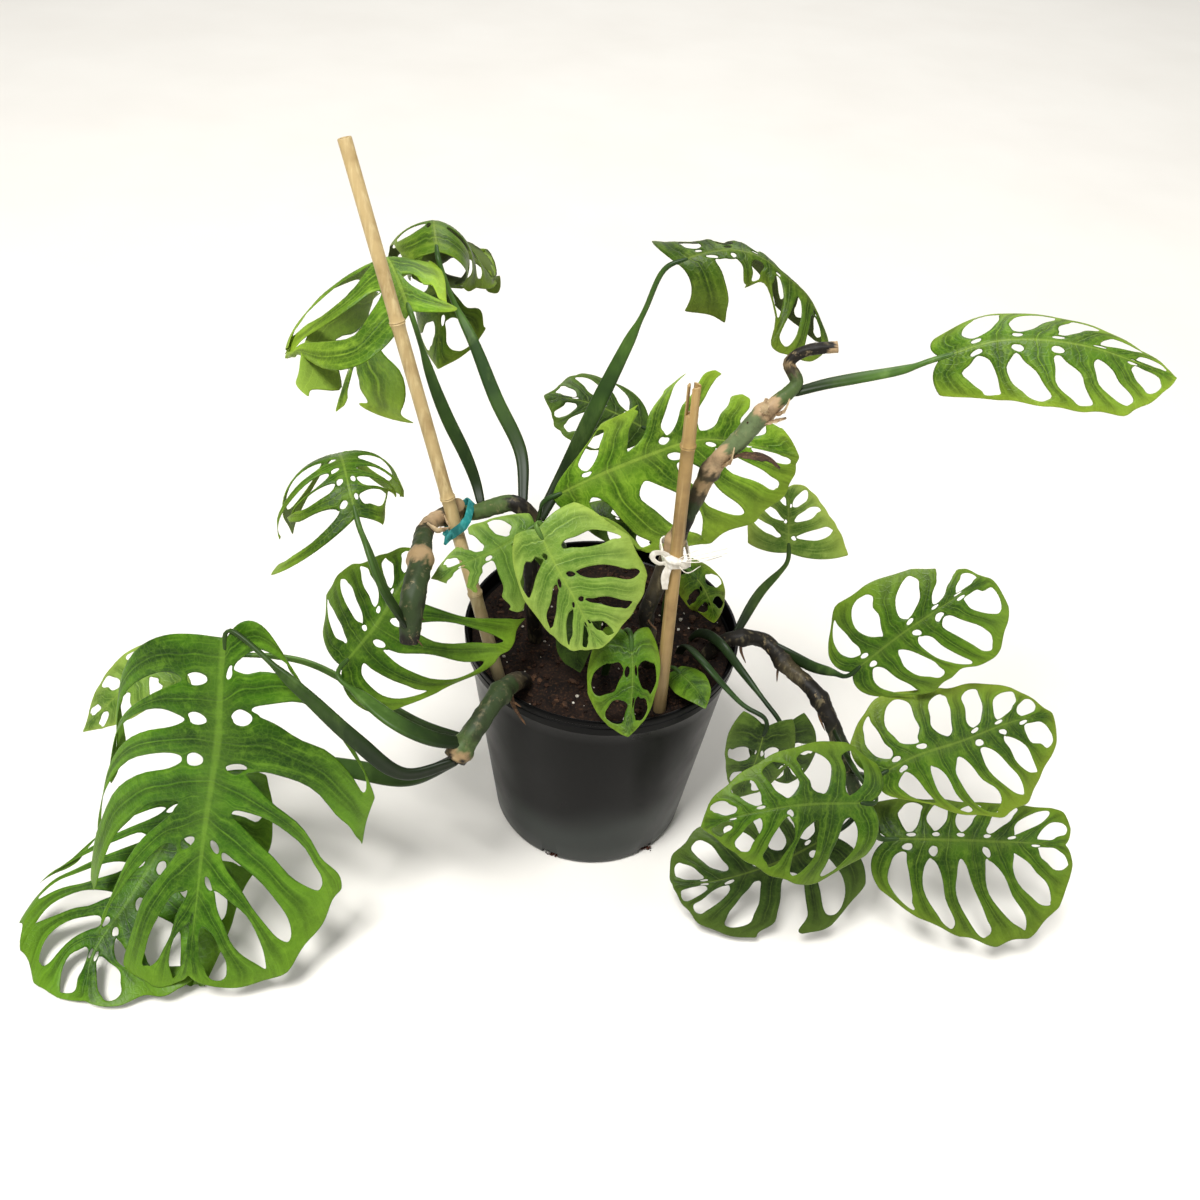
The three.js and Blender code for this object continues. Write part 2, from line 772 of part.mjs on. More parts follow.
// Place of a point of the blade: share runs from base to tip, out from midrib to margin
function bladePoint(leaf, curve, length, side, share, out) {
  const lateral = lateralOf(leaf, side, share, length);
  const bowed = lateral.angle + lateral.bow;
  const early = 2 * out * (1 - out) * lateral.pull;
  const late = out * out;
  const along = lateral.start
    + lateral.reach * (early * Math.cos(bowed) + late * Math.cos(lateral.angle));
  const across = lateral.reach * (early * Math.sin(bowed) + late * Math.sin(lateral.angle));
  const [outward, down] = bendShares(lateral.bendIn, lateral.bendOut, out);
  const rise = (leaf.wave ?? 0) * late * Math.sin(leaf.seed + share * waveTurns)
    * Math.sin(lateral.angle);
  const spot = Math.min(Math.max(along / length, 0), 1);
  const place = curve.getPointAt(spot);
  const tangent = curve.getTangentAt(spot);
  place.addScaledVector(tangent, along - spot * length);
  const normal = toVector(leaf.face).lerp(toVector(leaf.faceEnd ?? leaf.face), spot);
  normal.addScaledVector(tangent, -normal.dot(tangent)).normalize();
  const right = tangent.clone().cross(normal);
  place.addScaledVector(right, across * outward * (side === 'right' ? 1 : -1));
  place.addScaledVector(normal, rise - across * down);
  return place;
}

// Shares from base to tip where strips of blade begin and end, on both sides of each slot
function columnsOf(leaf, side, out) {
  const count = leaf.strips;
  const columns = [0];
  for (let slot = 1; slot < count; slot += 1) {
    const ramp = Math.min(1, out * slotDriftRamp);
    const drift = slotDrift * ramp * wobble(leaf.seed + sideSeed[side], slot);
    const middle = (slot + drift) / count;
    const form = leaf.open?.[side]?.includes(slot) ? openForm : slotForm;
    const half = (leaf.slots || slotShare) / 2 / count * alongList(form, out);
    columns.push(middle - half, middle + half);
  }
  columns.push(1);
  return columns;
}

// A pierced blade as one thin body, split into triangles alike on both faces
function bladeSolid(leaf) {
  const curve = smoothPath(leaf.midrib);
  const length = curve.getLength();
  const columnCount = leaf.strips * 2;
  const places = [];
  const halves = [];
  const known = new Map();
  const vertexAt = (side, column, row) => {
    const shared = row === 0 ? `rib${column}` : column === columnCount - 1 ? `tip${row}` : null;
    const key = shared ?? `${side}${column},${row}`;
    if (!known.has(key)) {
      const slot = Math.floor((column + 1) / 2);
      const shift = rowDrift * wobble(leaf.seed + sideSeed[side], -slot);
      const out = slotRows[row] + (row > 0 && row < slotRows.length - 1 ? shift : 0);
      const share = columnsOf(leaf, side, out)[column];
      places.push(bladePoint(leaf, curve, length, side, share, out));
      const rib = row === 0 ? ribDepth * (1 - share) : 0;
      halves.push([mix(bladeHeart, bladeEdge, Math.sqrt(out)) / 2, rib]);
      known.set(key, places.length - 1);
    }
    return known.get(key);
  };
  const cells = [];
  for (const side of ['left', 'right']) {
    const open = leaf.open?.[side] ?? [];
    const missing = leaf.missing?.[side] ?? [];
    for (let column = 0; column < columnCount - 1; column += 1) {
      const slot = column % 2 === 1 ? (column + 1) / 2 : 0;
      for (let row = 0; row < slotRows.length - 1; row += 1) {
        const margin = row > slotRows.length - 3;
        const pierced = slot > 0 && leaf.slots !== 0 && row > 0 && (!margin || open.includes(slot));
        const gone = row > 0 && column % 2 === 0 && missing.includes(column / 2);
        if (pierced || gone) continue;
        const corners = [
          vertexAt(side, column, row),
          vertexAt(side, column, row + 1),
          vertexAt(side, column + 1, row + 1),
          vertexAt(side, column + 1, row),
        ];
        cells.push(side === 'right' ? corners : corners.reverse());
      }
    }
  }
  return thickened(places, halves, cells);
}

// Gives a sheet of four-cornered cells its thickness, with walls along every free edge
function thickened(places, halves, cells) {
  const normals = places.map(() => new THREE.Vector3());
  const first = new THREE.Vector3();
  const second = new THREE.Vector3();
  for (const [a, b, c, d] of cells) {
    first.subVectors(places[c], places[a]);
    second.subVectors(places[d], places[b]);
    first.cross(second);
    for (const corner of [a, b, c, d]) normals[corner].add(first);
  }
  const vertices = [];
  places.forEach((place, i) => {
    const up = place.clone().addScaledVector(normals[i].normalize(), halves[i][0]);
    vertices.push(up.x, up.y, up.z);
  });
  places.forEach((place, i) => {
    const down = place.clone().addScaledVector(normals[i], -halves[i][0] - halves[i][1]);
    vertices.push(down.x, down.y, down.z);
  });
  const under = places.length;
  const triangles = [];
  const edges = new Set();
  for (const [a, b, c, d] of cells) {
    for (const [i, j, k] of [[a, b, c], [a, c, d]]) {
      triangles.push(i, j, k, under + k, under + j, under + i);
      edges.add(`${i},${j}`).add(`${j},${k}`).add(`${k},${i}`);
    }
  }
  for (const edge of edges) {
    const [i, j] = edge.split(',').map(Number);
    if (edges.has(`${j},${i}`)) continue;
    triangles.push(j, i, under + i, j, under + i, under + j);
  }
  return solidFrom(vertices, triangles);
}

// Petiole: a broad sheath from the stem, then a thin neck that runs into the midrib
function petioleSolid(leaf, grow = 0) {
  const midrib = smoothPath(leaf.midrib);
  const base = toVector(leaf.midrib[0]);
  const ahead = midrib.getTangentAt(0);
  const before = base.clone().addScaledVector(ahead, -neckLead);
  const inside = base.clone().addScaledVector(ahead, neckRun);
  const curve = new THREE.CatmullRomCurve3(
    [...leaf.petiole.map(toVector), before, inside],
    false,
    'centripetal',
  );
  const rings = Math.max(6, Math.round(curve.getLength() / petioleStep));
  const broad = leaf.sheath ?? 7;
  const end = leaf.sheathEnd ?? 0.7;
  return sweptSolid(curve, (share) => {
    if (share > end) {
      const radius = neckRadius * (share > neckTaper.from ? neckTaper.slim : 1) + grow;
      return [radius, radius];
    }
    const swell = mix(sheathForm.ends, 1, Math.sin(Math.PI * share / end));
    return [broad * swell + grow, broad * sheathForm.through + grow];
  }, petioleSides, rings);
}

function leafSolid(leaf) {
  const whole = bladeSolid(leaf).add(petioleSolid(leaf));
  return leaf.from ? whole.subtract(stemSolid(stems[leaf.from], fitGap)) : whole;
}

// A stem: knotty tube with a swollen ring at each node
function stemSolid(stem, grow = 0) {
  const curve = smoothPath(stem.path);
  const length = curve.getLength();
  return sweptSolid(curve, (share) => {
    const radius = alongList(stem.radii, share);
    const swell = stem.nodes.reduce((most, node) => {
      const apart = (share - node) * length / nodeLength;
      return Math.max(most, nodeSwell * Math.exp(-apart * apart));
    }, 0);
    const full = radius * (1 + swell) + grow;
    return [full, full];
  }, stemSides, Math.round(length / stemStep));
}

// Pot: tapered wall, stepped rim band, flat floor, drain notches round the foot
function wallRadius(height) {
  return mix(footRadius, rimRadius - bandStep, Math.min(height / (potHeight - rimBandHeight), 1));
}

function potSolid() {
  const bandFoot = potHeight - rimBandHeight;
  const outline = [
    [0, 0],
    [footRadius - 2, 0],
    [footRadius, footHeight],
    [wallRadius(bandFoot), bandFoot],
    [rimRadius - 1, bandFoot + 2],
    [rimRadius - 1, potHeight - 5],
    [rimRadius, potHeight - 4],
    [rimRadius, potHeight],
    [rimRadius - potWall - 1, potHeight],
    [wallRadius(bandFoot) - potWall, bandFoot],
    [wallRadius(potFloor) - potWall, potFloor],
    [0, potFloor],
  ];
  const points = outline.map(([radius, height]) => new THREE.Vector2(radius, height));
  const turned = new THREE.LatheGeometry(points, potSegments).rotateX(Math.PI / 2);
  let pot = solidFromGeometry(turned);
  for (let drain = 0; drain < drainCount; drain += 1) {
    const notch = new THREE.BoxGeometry(drainHeight * 1.6, drainWidth, drainHeight * 2);
    notch.translate(footRadius, 0, 0);
    notch.rotateZ(THREE.MathUtils.degToRad(drainTurn) + drain * 2 * Math.PI / drainCount);
    pot = pot.subtract(solidFromGeometry(notch));
  }
  return pot;
}

// Soil fills the pot to just under the rim, with plain holes round whatever stands in it
function soilSolid(standing) {
  const inner = (height) => wallRadius(height) - potWall - fitGap;
  const outline = [
    [0, potFloor + fitGap],
    [inner(potFloor) - fitGap, potFloor + fitGap],
    [inner(soilTop), soilTop],
    [inner(soilTop) * 0.6, soilTop + soilMound],
    [0, soilTop - soilMound],
  ];
  const points = outline.map(([radius, height]) => new THREE.Vector2(radius, height));
  const turned = new THREE.LatheGeometry(points, potSegments).rotateX(Math.PI / 2);
  return standing.reduce((soil, piece) => soil.subtract(piece), solidFromGeometry(turned));
}

// Bamboo cane with a ring at each node
function caneSolid(cane, grow = 0) {
  const curve = new THREE.LineCurve3(toVector(cane.foot), toVector(cane.top));
  const length = curve.getLength();
  const rings = Math.round(length / caneStep);
  const nodeRings = cane.nodes.map((node) => Math.round(node * rings));
  return sweptSolid(curve, (share) => {
    const atNode = nodeRings.includes(Math.round(share * rings));
    const radius = caneRadius - caneTaper * share + (atNode ? caneRing : 0) + grow;
    return [radius, radius];
  }, caneSides, rings);
}

// A cane hollow at its top, and split there into prongs if it has any
function caneWithBore(cane) {
  const top = toVector(cane.top);
  const down = toVector(cane.foot).sub(top).normalize();
  const bore = new THREE.LineCurve3(
    top.clone().addScaledVector(down, -caneBoreDepth),
    top.clone().addScaledVector(down, caneBoreDepth),
  );
  let solid = caneSolid(cane).subtract(sweptSolid(bore, () => [caneBore, caneBore], 6, 1));
  for (let prong = 0; prong < (cane.prongs ?? 0); prong += 1) {
    const slit = new THREE.BoxGeometry(prongGap, caneRadius * 2, prongDepth * 2);
    slit.translate(0, caneRadius, 0).rotateZ(prong * 2 * Math.PI / cane.prongs);
    slit.translate(top.x, top.y, top.z);
    solid = solid.subtract(solidFromGeometry(slit));
  }
  return solid;
}

function roundedOutline(shape, length, width, corner) {
  const [x, y] = [length / 2 - corner, width / 2 - corner];
  shape.absarc(x, y, corner, 0, Math.PI / 2);
  shape.absarc(-x, y, corner, Math.PI / 2, Math.PI);
  shape.absarc(-x, -y, corner, Math.PI, Math.PI * 1.5);
  shape.absarc(x, -y, corner, Math.PI * 1.5, Math.PI * 2);
  return shape;
}

function tieSolid(tie) {
  const [length, width] = tie.inside;
  const wall = 2 * tieWall;
  const shape = roundedOutline(new THREE.Shape(), length + wall, width + wall, tieCorner + tieWall);
  shape.holes.push(roundedOutline(new THREE.Path(), length, width, tieCorner));
  const depth = tie.width;
  const strap = new THREE.ExtrudeGeometry(shape, { depth, bevelEnabled: false, curveSegments: 3 });
  strap.translate(0, 0, -tie.width / 2);
  const tail = new THREE.BoxGeometry(tailWall, tie.tail, tie.width);
  const corners = tail.attributes.position;
  for (let i = 0; i < corners.count; i += 1) {
    if (corners.getY(i) > 0) corners.setZ(i, corners.getZ(i) * tailTaper);
  }
  tail.translate(0, tie.tail / 2, 0).rotateX(THREE.MathUtils.degToRad(tie.tailTurn));
  tail.scale(1, tie.tailSide, 1);
  if (tie.tailSide < 0) flipped(tail);
  tail.translate(-(length + tieWall) / 2, tie.tailSide * (width / 2 - tieCorner), 0);
  const along = toVector(tie.along).normalize();
  const face = toVector(tie.face).normalize();
  const frame = new THREE.Matrix4().makeBasis(along, face.clone().cross(along), face);
  frame.setPosition(toVector(tie.middle));
  strap.applyMatrix4(frame);
  tail.applyMatrix4(frame);
  const whole = solidFromGeometry(strap).add(solidFromGeometry(tail));
  return whole.subtract(caneSolid(tie.cane, fitGap)).subtract(stemSolid(stems[tie.stem], fitGap));
}

const assembly = new THREE.Group();

function addPiece(name, solid, color, roughness = 0.6, metalness = 0) {
  const material = new THREE.MeshStandardMaterial({ color, roughness, metalness, flatShading: true });
  const mesh = new THREE.Mesh(geometryFromSolid(solid), material);
  mesh.name = name;
  assembly.add(mesh);
}

const standing = [
  caneSolid(tallCane, fitGap),
  caneSolid(shortCane, fitGap),
  ...Object.values(stems).map((stem) => stemSolid(stem, fitGap)),
  ...leaves.filter((leaf) => !leaf.from).map((leaf) => petioleSolid(leaf, fitGap)),
];

addPiece('pot', potSolid(), 0x1d1f21, 0.45);
addPiece('soil', soilSolid(standing), 0x2b1d16, 0.95);
addPiece('stake_tall', caneWithBore(tallCane), 0xd8b57c, 0.55);
addPiece('stake_short', caneWithBore(shortCane), 0xb98f5c, 0.6);
for (const [name, tie] of Object.entries(ties)) addPiece(name, tieSolid(tie), tie.color, 0.6);
for (const [name, stem] of Object.entries(stems)) addPiece(name, stemSolid(stem), green.stem, 0.7);
for (const leaf of leaves) addPiece(leaf.name, leafSolid(leaf), leaf.tint ?? green.leaf, 0.5);

export default assembly;
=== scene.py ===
import math
import bpy
import numpy as np
from mathutils import Matrix, Vector, noise


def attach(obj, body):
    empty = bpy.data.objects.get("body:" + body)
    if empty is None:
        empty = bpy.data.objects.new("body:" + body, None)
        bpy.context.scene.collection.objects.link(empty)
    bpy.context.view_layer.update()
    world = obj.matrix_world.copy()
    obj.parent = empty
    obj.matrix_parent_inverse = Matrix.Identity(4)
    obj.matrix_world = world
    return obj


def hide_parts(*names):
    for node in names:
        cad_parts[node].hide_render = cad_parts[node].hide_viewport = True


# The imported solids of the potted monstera, dressed as the real plant.
# Sizes and places are in millimetres until a mesh is made.

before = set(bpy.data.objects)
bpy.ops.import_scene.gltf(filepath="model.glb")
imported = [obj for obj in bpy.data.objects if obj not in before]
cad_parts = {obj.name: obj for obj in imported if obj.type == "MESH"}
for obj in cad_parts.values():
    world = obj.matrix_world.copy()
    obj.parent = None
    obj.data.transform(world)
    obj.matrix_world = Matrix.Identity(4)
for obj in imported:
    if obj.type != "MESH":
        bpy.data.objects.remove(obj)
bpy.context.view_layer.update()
mm = 0.001
print("frame loaded, %d nodes" % len(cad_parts))


def pick(piece=None):
    bpy.ops.object.select_all(action="DESELECT")
    if piece:
        piece.select_set(True)
        bpy.context.view_layer.objects.active = piece


def applyModifiers(piece):
    pick(piece)
    for modifier in list(piece.modifiers):
        bpy.ops.object.modifier_apply(modifier=modifier.name)


def settle(piece, turn=None):
    # the piece's place goes into its mesh, its object stays at the origin
    if turn is not None:
        piece.matrix_world = turn
    pick(piece)
    bpy.ops.object.transform_apply(location=True, rotation=True, scale=True)


def smooth(piece, degrees=None):
    pick(piece)
    if degrees is None:
        bpy.ops.object.shade_smooth()
    else:
        bpy.ops.object.shade_smooth_by_angle(angle=math.radians(degrees))


def dress(piece, finishes, slotName, replaced=()):
    # clearing the materials forgets which face has which, so that is kept
    faces = piece.data.polygons
    kept = np.zeros(len(faces), dtype=np.int32)
    faces.foreach_get("material_index", kept)
    piece.data.materials.clear()
    for finish in finishes:
        piece.data.materials.append(finish)
    faces.foreach_set("material_index", np.minimum(kept, len(finishes) - 1))
    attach(piece, "root")
    if replaced:
        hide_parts(*replaced)


def ease(value, low, high):
    share = np.clip((np.asarray(value, float) - low) / (high - low), 0, 1)
    return share * share * (3 - 2 * share)


def wobble(seed, index):
    # an even spread from -1 to 1, the same each time
    value = math.sin(seed * 12.9898 + index * 78.233) * 43758.5453
    return (value - math.floor(value)) * 2 - 1


def along(values, share):
    return np.interp(share, np.linspace(0, 1, len(values)), values)


def unit(vectors):
    return vectors / np.maximum(np.linalg.norm(vectors, axis=-1, keepdims=True), 1e-9)


def ellipse(across, through, turns):
    return across * np.cos(turns), through * np.sin(turns)


def bumps(turns, spot, wide):
    # noise round a ring, at a place along the piece
    return np.array([noise.noise(Vector((spot, math.cos(turn) * wide, math.sin(turn) * wide)))
                     for turn in turns])


# A smooth centripetal curve through points, measured by its length
class Path:
    def __init__(self, points):
        self.points = np.array(points, float)
        self.steps = np.linspace(0, 1, 201)
        gaps = np.linalg.norm(np.diff(self.spots(self.steps), axis=0), axis=1)
        self.runs = np.concatenate([[0], np.cumsum(gaps)])
        self.length = self.runs[-1]

    def spots(self, steps):
        points = self.points
        last = len(points) - 1
        padded = np.vstack([2 * points[0] - points[1], points, 2 * points[-1] - points[-2]])
        place = np.clip(steps, 0, 1) * last
        index = np.minimum(place.astype(int), last - 1)
        weight = (place - index)[:, None]
        p0, p1, p2, p3 = (padded[index + k] for k in range(4))
        d0, d1, d2 = (np.linalg.norm(b - a, axis=1)[:, None] ** 0.5
                      for a, b in ((p0, p1), (p1, p2), (p2, p3)))
        t1 = ((p1 - p0) / d0 - (p2 - p0) / (d0 + d1) + (p2 - p1) / d1) * d1
        t2 = ((p2 - p1) / d1 - (p3 - p1) / (d1 + d2) + (p3 - p2) / d2) * d1
        c2 = -3 * p1 + 3 * p2 - 2 * t1 - t2
        c3 = 2 * p1 - 2 * p2 + t1 + t2
        return p1 + t1 * weight + c2 * weight ** 2 + c3 * weight ** 3

    def step(self, shares):
        return np.interp(np.atleast_1d(shares).astype(float) * self.length, self.runs, self.steps)

    def at(self, shares):
        return self.spots(self.step(shares))

    def tangent(self, shares):
        step, near = self.step(shares), 1e-4
        return unit(self.spots(np.clip(step + near, 0, 1)) - self.spots(np.clip(step - near, 0, 1)))

    def frames(self, rings):
        # tangents, normals and binormals that turn as little as they can
        tangents = self.tangent(np.linspace(0, 1, rings + 1))
        axis = np.zeros(3)
        axis[np.argmin(np.abs(tangents[0]))] = 1
        normals = [np.cross(tangents[0], unit(np.cross(tangents[0], axis)))]
        for before, after in zip(tangents, tangents[1:]):
            hinge, normal = Vector(np.cross(before, after)), Vector(normals[-1])
            if hinge.length > 1e-9:
                turn = math.acos(max(-1, min(1, float(before @ after))))
                normal.rotate(Matrix.Rotation(turn, 3, hinge.normalized()))
            normals.append(np.array(normal))
        normals = np.array(normals)
        return tangents, normals, np.cross(tangents, normals)


# Gathers vertices, faces, finishes and map places of one piece
class Build:
    def __init__(self):
        self.places, self.tones, self.faces, self.slots, self.maps = [], [], [], [], []

    def add(self, places, faces, slot=0, maps=None, tones=None):
        first = len(self.places)
        self.places += [tuple(place) for place in places]
        self.tones += list(tones) if tones is not None else [(0.5, 0.5, 0.5)] * len(places)
        for number, face in enumerate(faces):
            self.faces.append([first + corner for corner in face])
            self.slots.append(slot if isinstance(slot, int) else slot[number])
            self.maps.append(maps[number] if maps is not None else [(0.0, 0.0)] * len(face))

    def make(self, name, levels=0):
        mesh = bpy.data.meshes.new(name)
        mesh.from_pydata([(x * mm, y * mm, z * mm) for x, y, z in self.places], [], self.faces)
        for _ in range(max(self.slots) + 1):
            mesh.materials.append(None)
        mesh.polygons.foreach_set("material_index", self.slots)
        layer = mesh.uv_layers.new(name="leafMap")
        layer.data.foreach_set("uv", [value for face in self.maps for place in face for value in place])
        tone = mesh.color_attributes.new("tone", "FLOAT_COLOR", "POINT")
        tone.data.foreach_set("color", [value for one in self.tones for value in (*one, 1.0)])
        mesh.update()
        piece = bpy.data.objects.new(name, mesh)
        bpy.context.scene.collection.objects.link(piece)
        smooth(piece)
        if levels:
            subdivision = piece.modifiers.new("fine", "SUBSURF")
            subdivision.levels = subdivision.render_levels = levels
            applyModifiers(piece)
        return piece


def tube(build, path, rings, sides, shapeAt, slot=0, toneAt=None):
    # a closed tube along a path; shapeAt gives each ring's places across and through
    _, normals, binormals = path.frames(rings)
    shares = np.linspace(0, 1, rings + 1)
    centres = path.at(shares)
    turns = np.arange(sides) * 2 * math.pi / sides
    places, tones, faces, maps = [], [], [], []
    for ring, share in enumerate(shares):
        across, through = shapeAt(share, turns)
        places += list(centres[ring] + np.outer(across, normals[ring]) + np.outer(through, binormals[ring]))
        if toneAt:
            tones += [toneAt(share, turn) for turn in turns]
    for ring in range(rings):
        for side in range(sides):
            row, after, above = ring * sides, (side + 1) % sides, (ring + 1) * sides
            faces.append([row + side, row + after, above + after, above + side])
            low, high, left, right = shares[ring], shares[ring + 1], side / sides, (side + 1) / sides
            maps.append([(left, low), (right, low), (right, high), (left, high)])
    places += [centres[0], centres[-1]]
    if toneAt:
        tones += [toneAt(0, 0), toneAt(1, 0)]
    for side in range(sides):
        after = (side + 1) % sides
        faces += [[after, side, len(places) - 2],
                  [rings * sides + side, rings * sides + after, len(places) - 1]]
        maps += [[(0, 0)] * 3, [(0, 1)] * 3]
    build.add(places, faces, slot, maps, tones or None)


# Shader maths: a socket with operators, and the sheet of nodes it lies on
class Wire:
    def __init__(self, sheet, socket):
        self.sheet, self.socket = sheet, socket

    def maths(self, operation, *values):
        return self.sheet.node("Math", dict(operation=operation), dict(enumerate(values)))

    def __add__(self, other):
        return self.maths("ADD", self, other)

    def __sub__(self, other):
        return self.maths("SUBTRACT", self, other)

    def __rsub__(self, other):
        return self.maths("SUBTRACT", other, self)

    def __mul__(self, other):
        return self.maths("MULTIPLY", self, other)

    def __abs__(self):
        return self.maths("ABSOLUTE", self)

    __radd__ = __add__
    __rmul__ = __mul__

    def between(self, low, high):
        # 0 at low and below, 1 at high and above, eased
        return self.sheet.node("MapRange", dict(interpolation_type="SMOOTHSTEP"),
                               {"Value": self, "From Min": low, "From Max": high})


class Sheet:
    def __init__(self, name, **fixed):
        self.material = bpy.data.materials.new(name)
        self.material.use_nodes = True
        self.tree = self.material.node_tree
        self.shader = self.tree.nodes["Principled BSDF"]
        for socket, value in fixed.items():
            self.shader.inputs[socket.replace("_", " ")].default_value = value

    def node(self, kind, settings, inputs, output=0):
        node = self.tree.nodes.new("ShaderNode" + kind)
        for key, value in settings.items():
            setattr(node, key, value)
        for key, value in inputs.items():
            if isinstance(value, Wire):
                self.tree.links.new(value.socket, node.inputs[key])
            else:
                node.inputs[key].default_value = value
        return Wire(self, node.outputs[output])

    def split(self, kind, source):
        node = self.node("Separate" + kind, {}, {0: source}).socket.node
        return [Wire(self, socket) for socket in node.outputs]

    def attribute(self, name):
        return self.node("Attribute", dict(attribute_name=name), {})

    def mix(self, factor, first, second, blend="MIX"):
        return self.node("Mix", dict(data_type="RGBA", blend_type=blend),
                         {0: factor, 6: first, 7: second}, 2)

    def coats(self, ground, *coats):
        # each coat covers the ground by its own factor
        for factor, tint in coats:
            ground = self.mix(factor, ground, colour(tint))
        return ground

    def places(self):
        return self.node("TexCoord", {}, {}, "Object")

    def grain(self, scale, detail=3, rough=0.55, stretch=None, places=None):
        vector = places or self.places()
        if stretch:
            vector = self.node("Mapping", {}, {"Vector": vector, "Scale": stretch})
        return self.node("TexNoise", {}, {"Vector": vector, "Scale": scale, "Detail": detail,
                                         "Roughness": rough})

    def finish(self, ground, height=None, strength=0, distance=0, rough=None):
        bump = dict(Height=height, Strength=strength, Distance=distance)
        normal = self.node("Bump", {}, bump) if height else None
        for socket, wire in (("Normal", normal), ("Base Color", ground), ("Roughness", rough)):
            if wire:
                self.tree.links.new(wire.socket, self.shader.inputs[socket])
        return self.material


def colour(code):
    # a web colour as linear light
    parts = [int(code[i:i + 2], 16) / 255 for i in (1, 3, 5)]
    return tuple(p / 12.92 if p < 0.04045 else ((p + 0.055) / 1.055) ** 2.4 for p in parts) + (1.0,)


# Leaf finishes: blade above and below, then the stalk
leafLooks = {
    "leaf": dict(base="#4b7219", light="#86a840", dark="#17300a", rim="#98a83c", under="#617a3a",
                 stalk=("#486826", "#263e18", "#78964a")),
    "leaf_pale": dict(base="#6f8f44", light="#9cb56c", dark="#37591f", rim="#a3b056", under="#7d9550",
                      stalk=("#557430", "#34501d", "#809a48")),
    # the third finish is a darker copy of the leaf colours: painted shade for blades that lie deep inside
    # the plant
    "leaf_deep": dict(base="#38531f", light="#647f3c", dark="#12210b", rim="#66793a", under="#4f6036",
                      stalk=("#293f1c", "#14230e", "#486030")),
}
veinPale = "#86a04c"
netScale = 210
coolTint = (0.7, 1.0, 0.4, 1.0)
warmTint = (1.26, 1.0, 0.8, 1.0)


def leafFinish(name, look, under):
    # the tone attribute holds how bright, how yellow and how pale-rimmed each leaf is; the brightness is
    # partly the leaf's own tone and partly painted light and shade for where the leaf hangs
    sheet = Sheet(name, Specular_IOR_Level=0.16)
    bright, yellow, pale = sheet.split("Color", sheet.attribute("tone"))
    leafMap = sheet.node("UVMap", dict(uv_map="leafMap"), {})
    inside, out, _ = sheet.split("XYZ", leafMap)
    fromVein = abs(inside - 0.5)
    patches, blotches, fine = sheet.grain(11, 4, 0.6), sheet.grain(34, 4, 0.6), sheet.grain(85, 5, 0.65)
    # long soft streaks that run out along the laterals
    drawn = sheet.node("VectorMath", dict(operation="MULTIPLY"), {0: leafMap, 1: (7, 1.3, 1)})
    drawn = sheet.node("VectorMath", dict(operation="MULTIPLY_ADD"),
                       {0: sheet.places(), 1: (14, 14, 14), 2: drawn})
    streaks = sheet.grain(1.5, 4, 0.6, places=drawn)
    cells = sheet.node("TexVoronoi", dict(feature="DISTANCE_TO_EDGE"),
                       {"Vector": sheet.places(), "Scale": netScale})
    net = 1 - cells.between(0.0, 0.14)
    vein = (1 - fromVein.between(0.006, 0.04)) * (1 - out.between(0.4, 0.95))
    # painted shade in the grooves beside each lateral vein
    shade = (1 - fromVein.between(0.05, 0.24)) * (1 - vein) * (1 - out.between(0.75, 1.0))
    midrib = 1 - out.between(0.007, 0.021)
    ground = sheet.coats(
        colour(look["dark"]), (patches.between(0.36, 0.62), look["base"]), (0.25, look["base"]),
        (blotches.between(0.5, 0.72) * 0.32, look["dark"]), (fine.between(0.46, 0.7) * 0.35, look["light"]),
        (out.between(0.25, 0.85) * 0.35, look["light"]), (streaks.between(0.5, 0.7) * 0.32, look["light"]),
        ((1 - streaks.between(0.28, 0.48)) * 0.42, look["dark"]), (shade * 0.6, look["dark"]),
        ((1 - out.between(0.0, 0.13)) * 0.4, look["under"]),
        ((out + patches * 0.5 - 0.25).between(0.35, 1.1) * pale * 0.4, look["rim"]),
        ((out + patches * 0.2).between(0.88, 1.15) * (pale * 0.35 + 0.05), look["rim"]),
        (0.6 if under else 0.0, look["under"]), (net * 0.1, look["light"]), (vein * 0.08, veinPale),
        (midrib * 0.4, veinPale))
    ground = sheet.mix(1.0, ground, sheet.mix(yellow, coolTint, warmTint), "MULTIPLY")
    # partly painted light and shade: each leaf's brightness scales its whole colour
    ground = sheet.node("VectorMath", dict(operation="SCALE"), {0: ground, "Scale": bright * 1.25 + 0.2})
    relief = vein * -0.4 + streaks * 0.35 + net * 0.2 + fine * 0.25 + midrib * 0.4
    return sheet.finish(ground, relief, 0.45, 0.0012, fine * 0.22 + (0.5 if under else 0.3))


def stalkFinish(name, base, dark, light):
    # the tone attribute's first value holds how dark a petiole is, painted shade for petioles that lie in
    # shadow; all darken towards the stem, painted shade where they run in among the stems and leaves
    sheet = Sheet(name, Roughness=0.42, Specular_IOR_Level=0.18)
    tone = sheet.split("Color", sheet.attribute("tone"))[0]
    spot = sheet.split("XYZ", sheet.node("UVMap", dict(uv_map="leafMap"), {}))[1]
    streak, blotch = sheet.grain(60, 4, 0.6, (1, 1, 0.25)), sheet.grain(14, 3)
    # painted shade: near-black towards the stem end, and by each petiole's tone
    low = 1 - (spot + blotch * 0.3 - 0.15).between(0.05, 0.62)
    ground = sheet.coats(colour(base), (blotch.between(0.38, 0.66), dark),
                         (streak.between(0.5, 0.8) * 0.5, light), (low * 0.88, "#131a0d"),
                         (tone * (1 - streak * 0.6), "#0f150b"))
    return sheet.finish(ground, streak, 0.3, 0.0006)


leafFinishes = {key: [leafFinish(key + "Upper", look, False), leafFinish(key + "Under", look, True),
                      stalkFinish(key + "Stalk", *look["stalk"])] for key, look in leafLooks.items()}
print("leaf finishes made")


# Leaves: the same blades as the solids, with finer edges, holes, ribs and stalks
bladeEdge, bladeHeart, veinDepth = 0.7, 1.5, 0.7
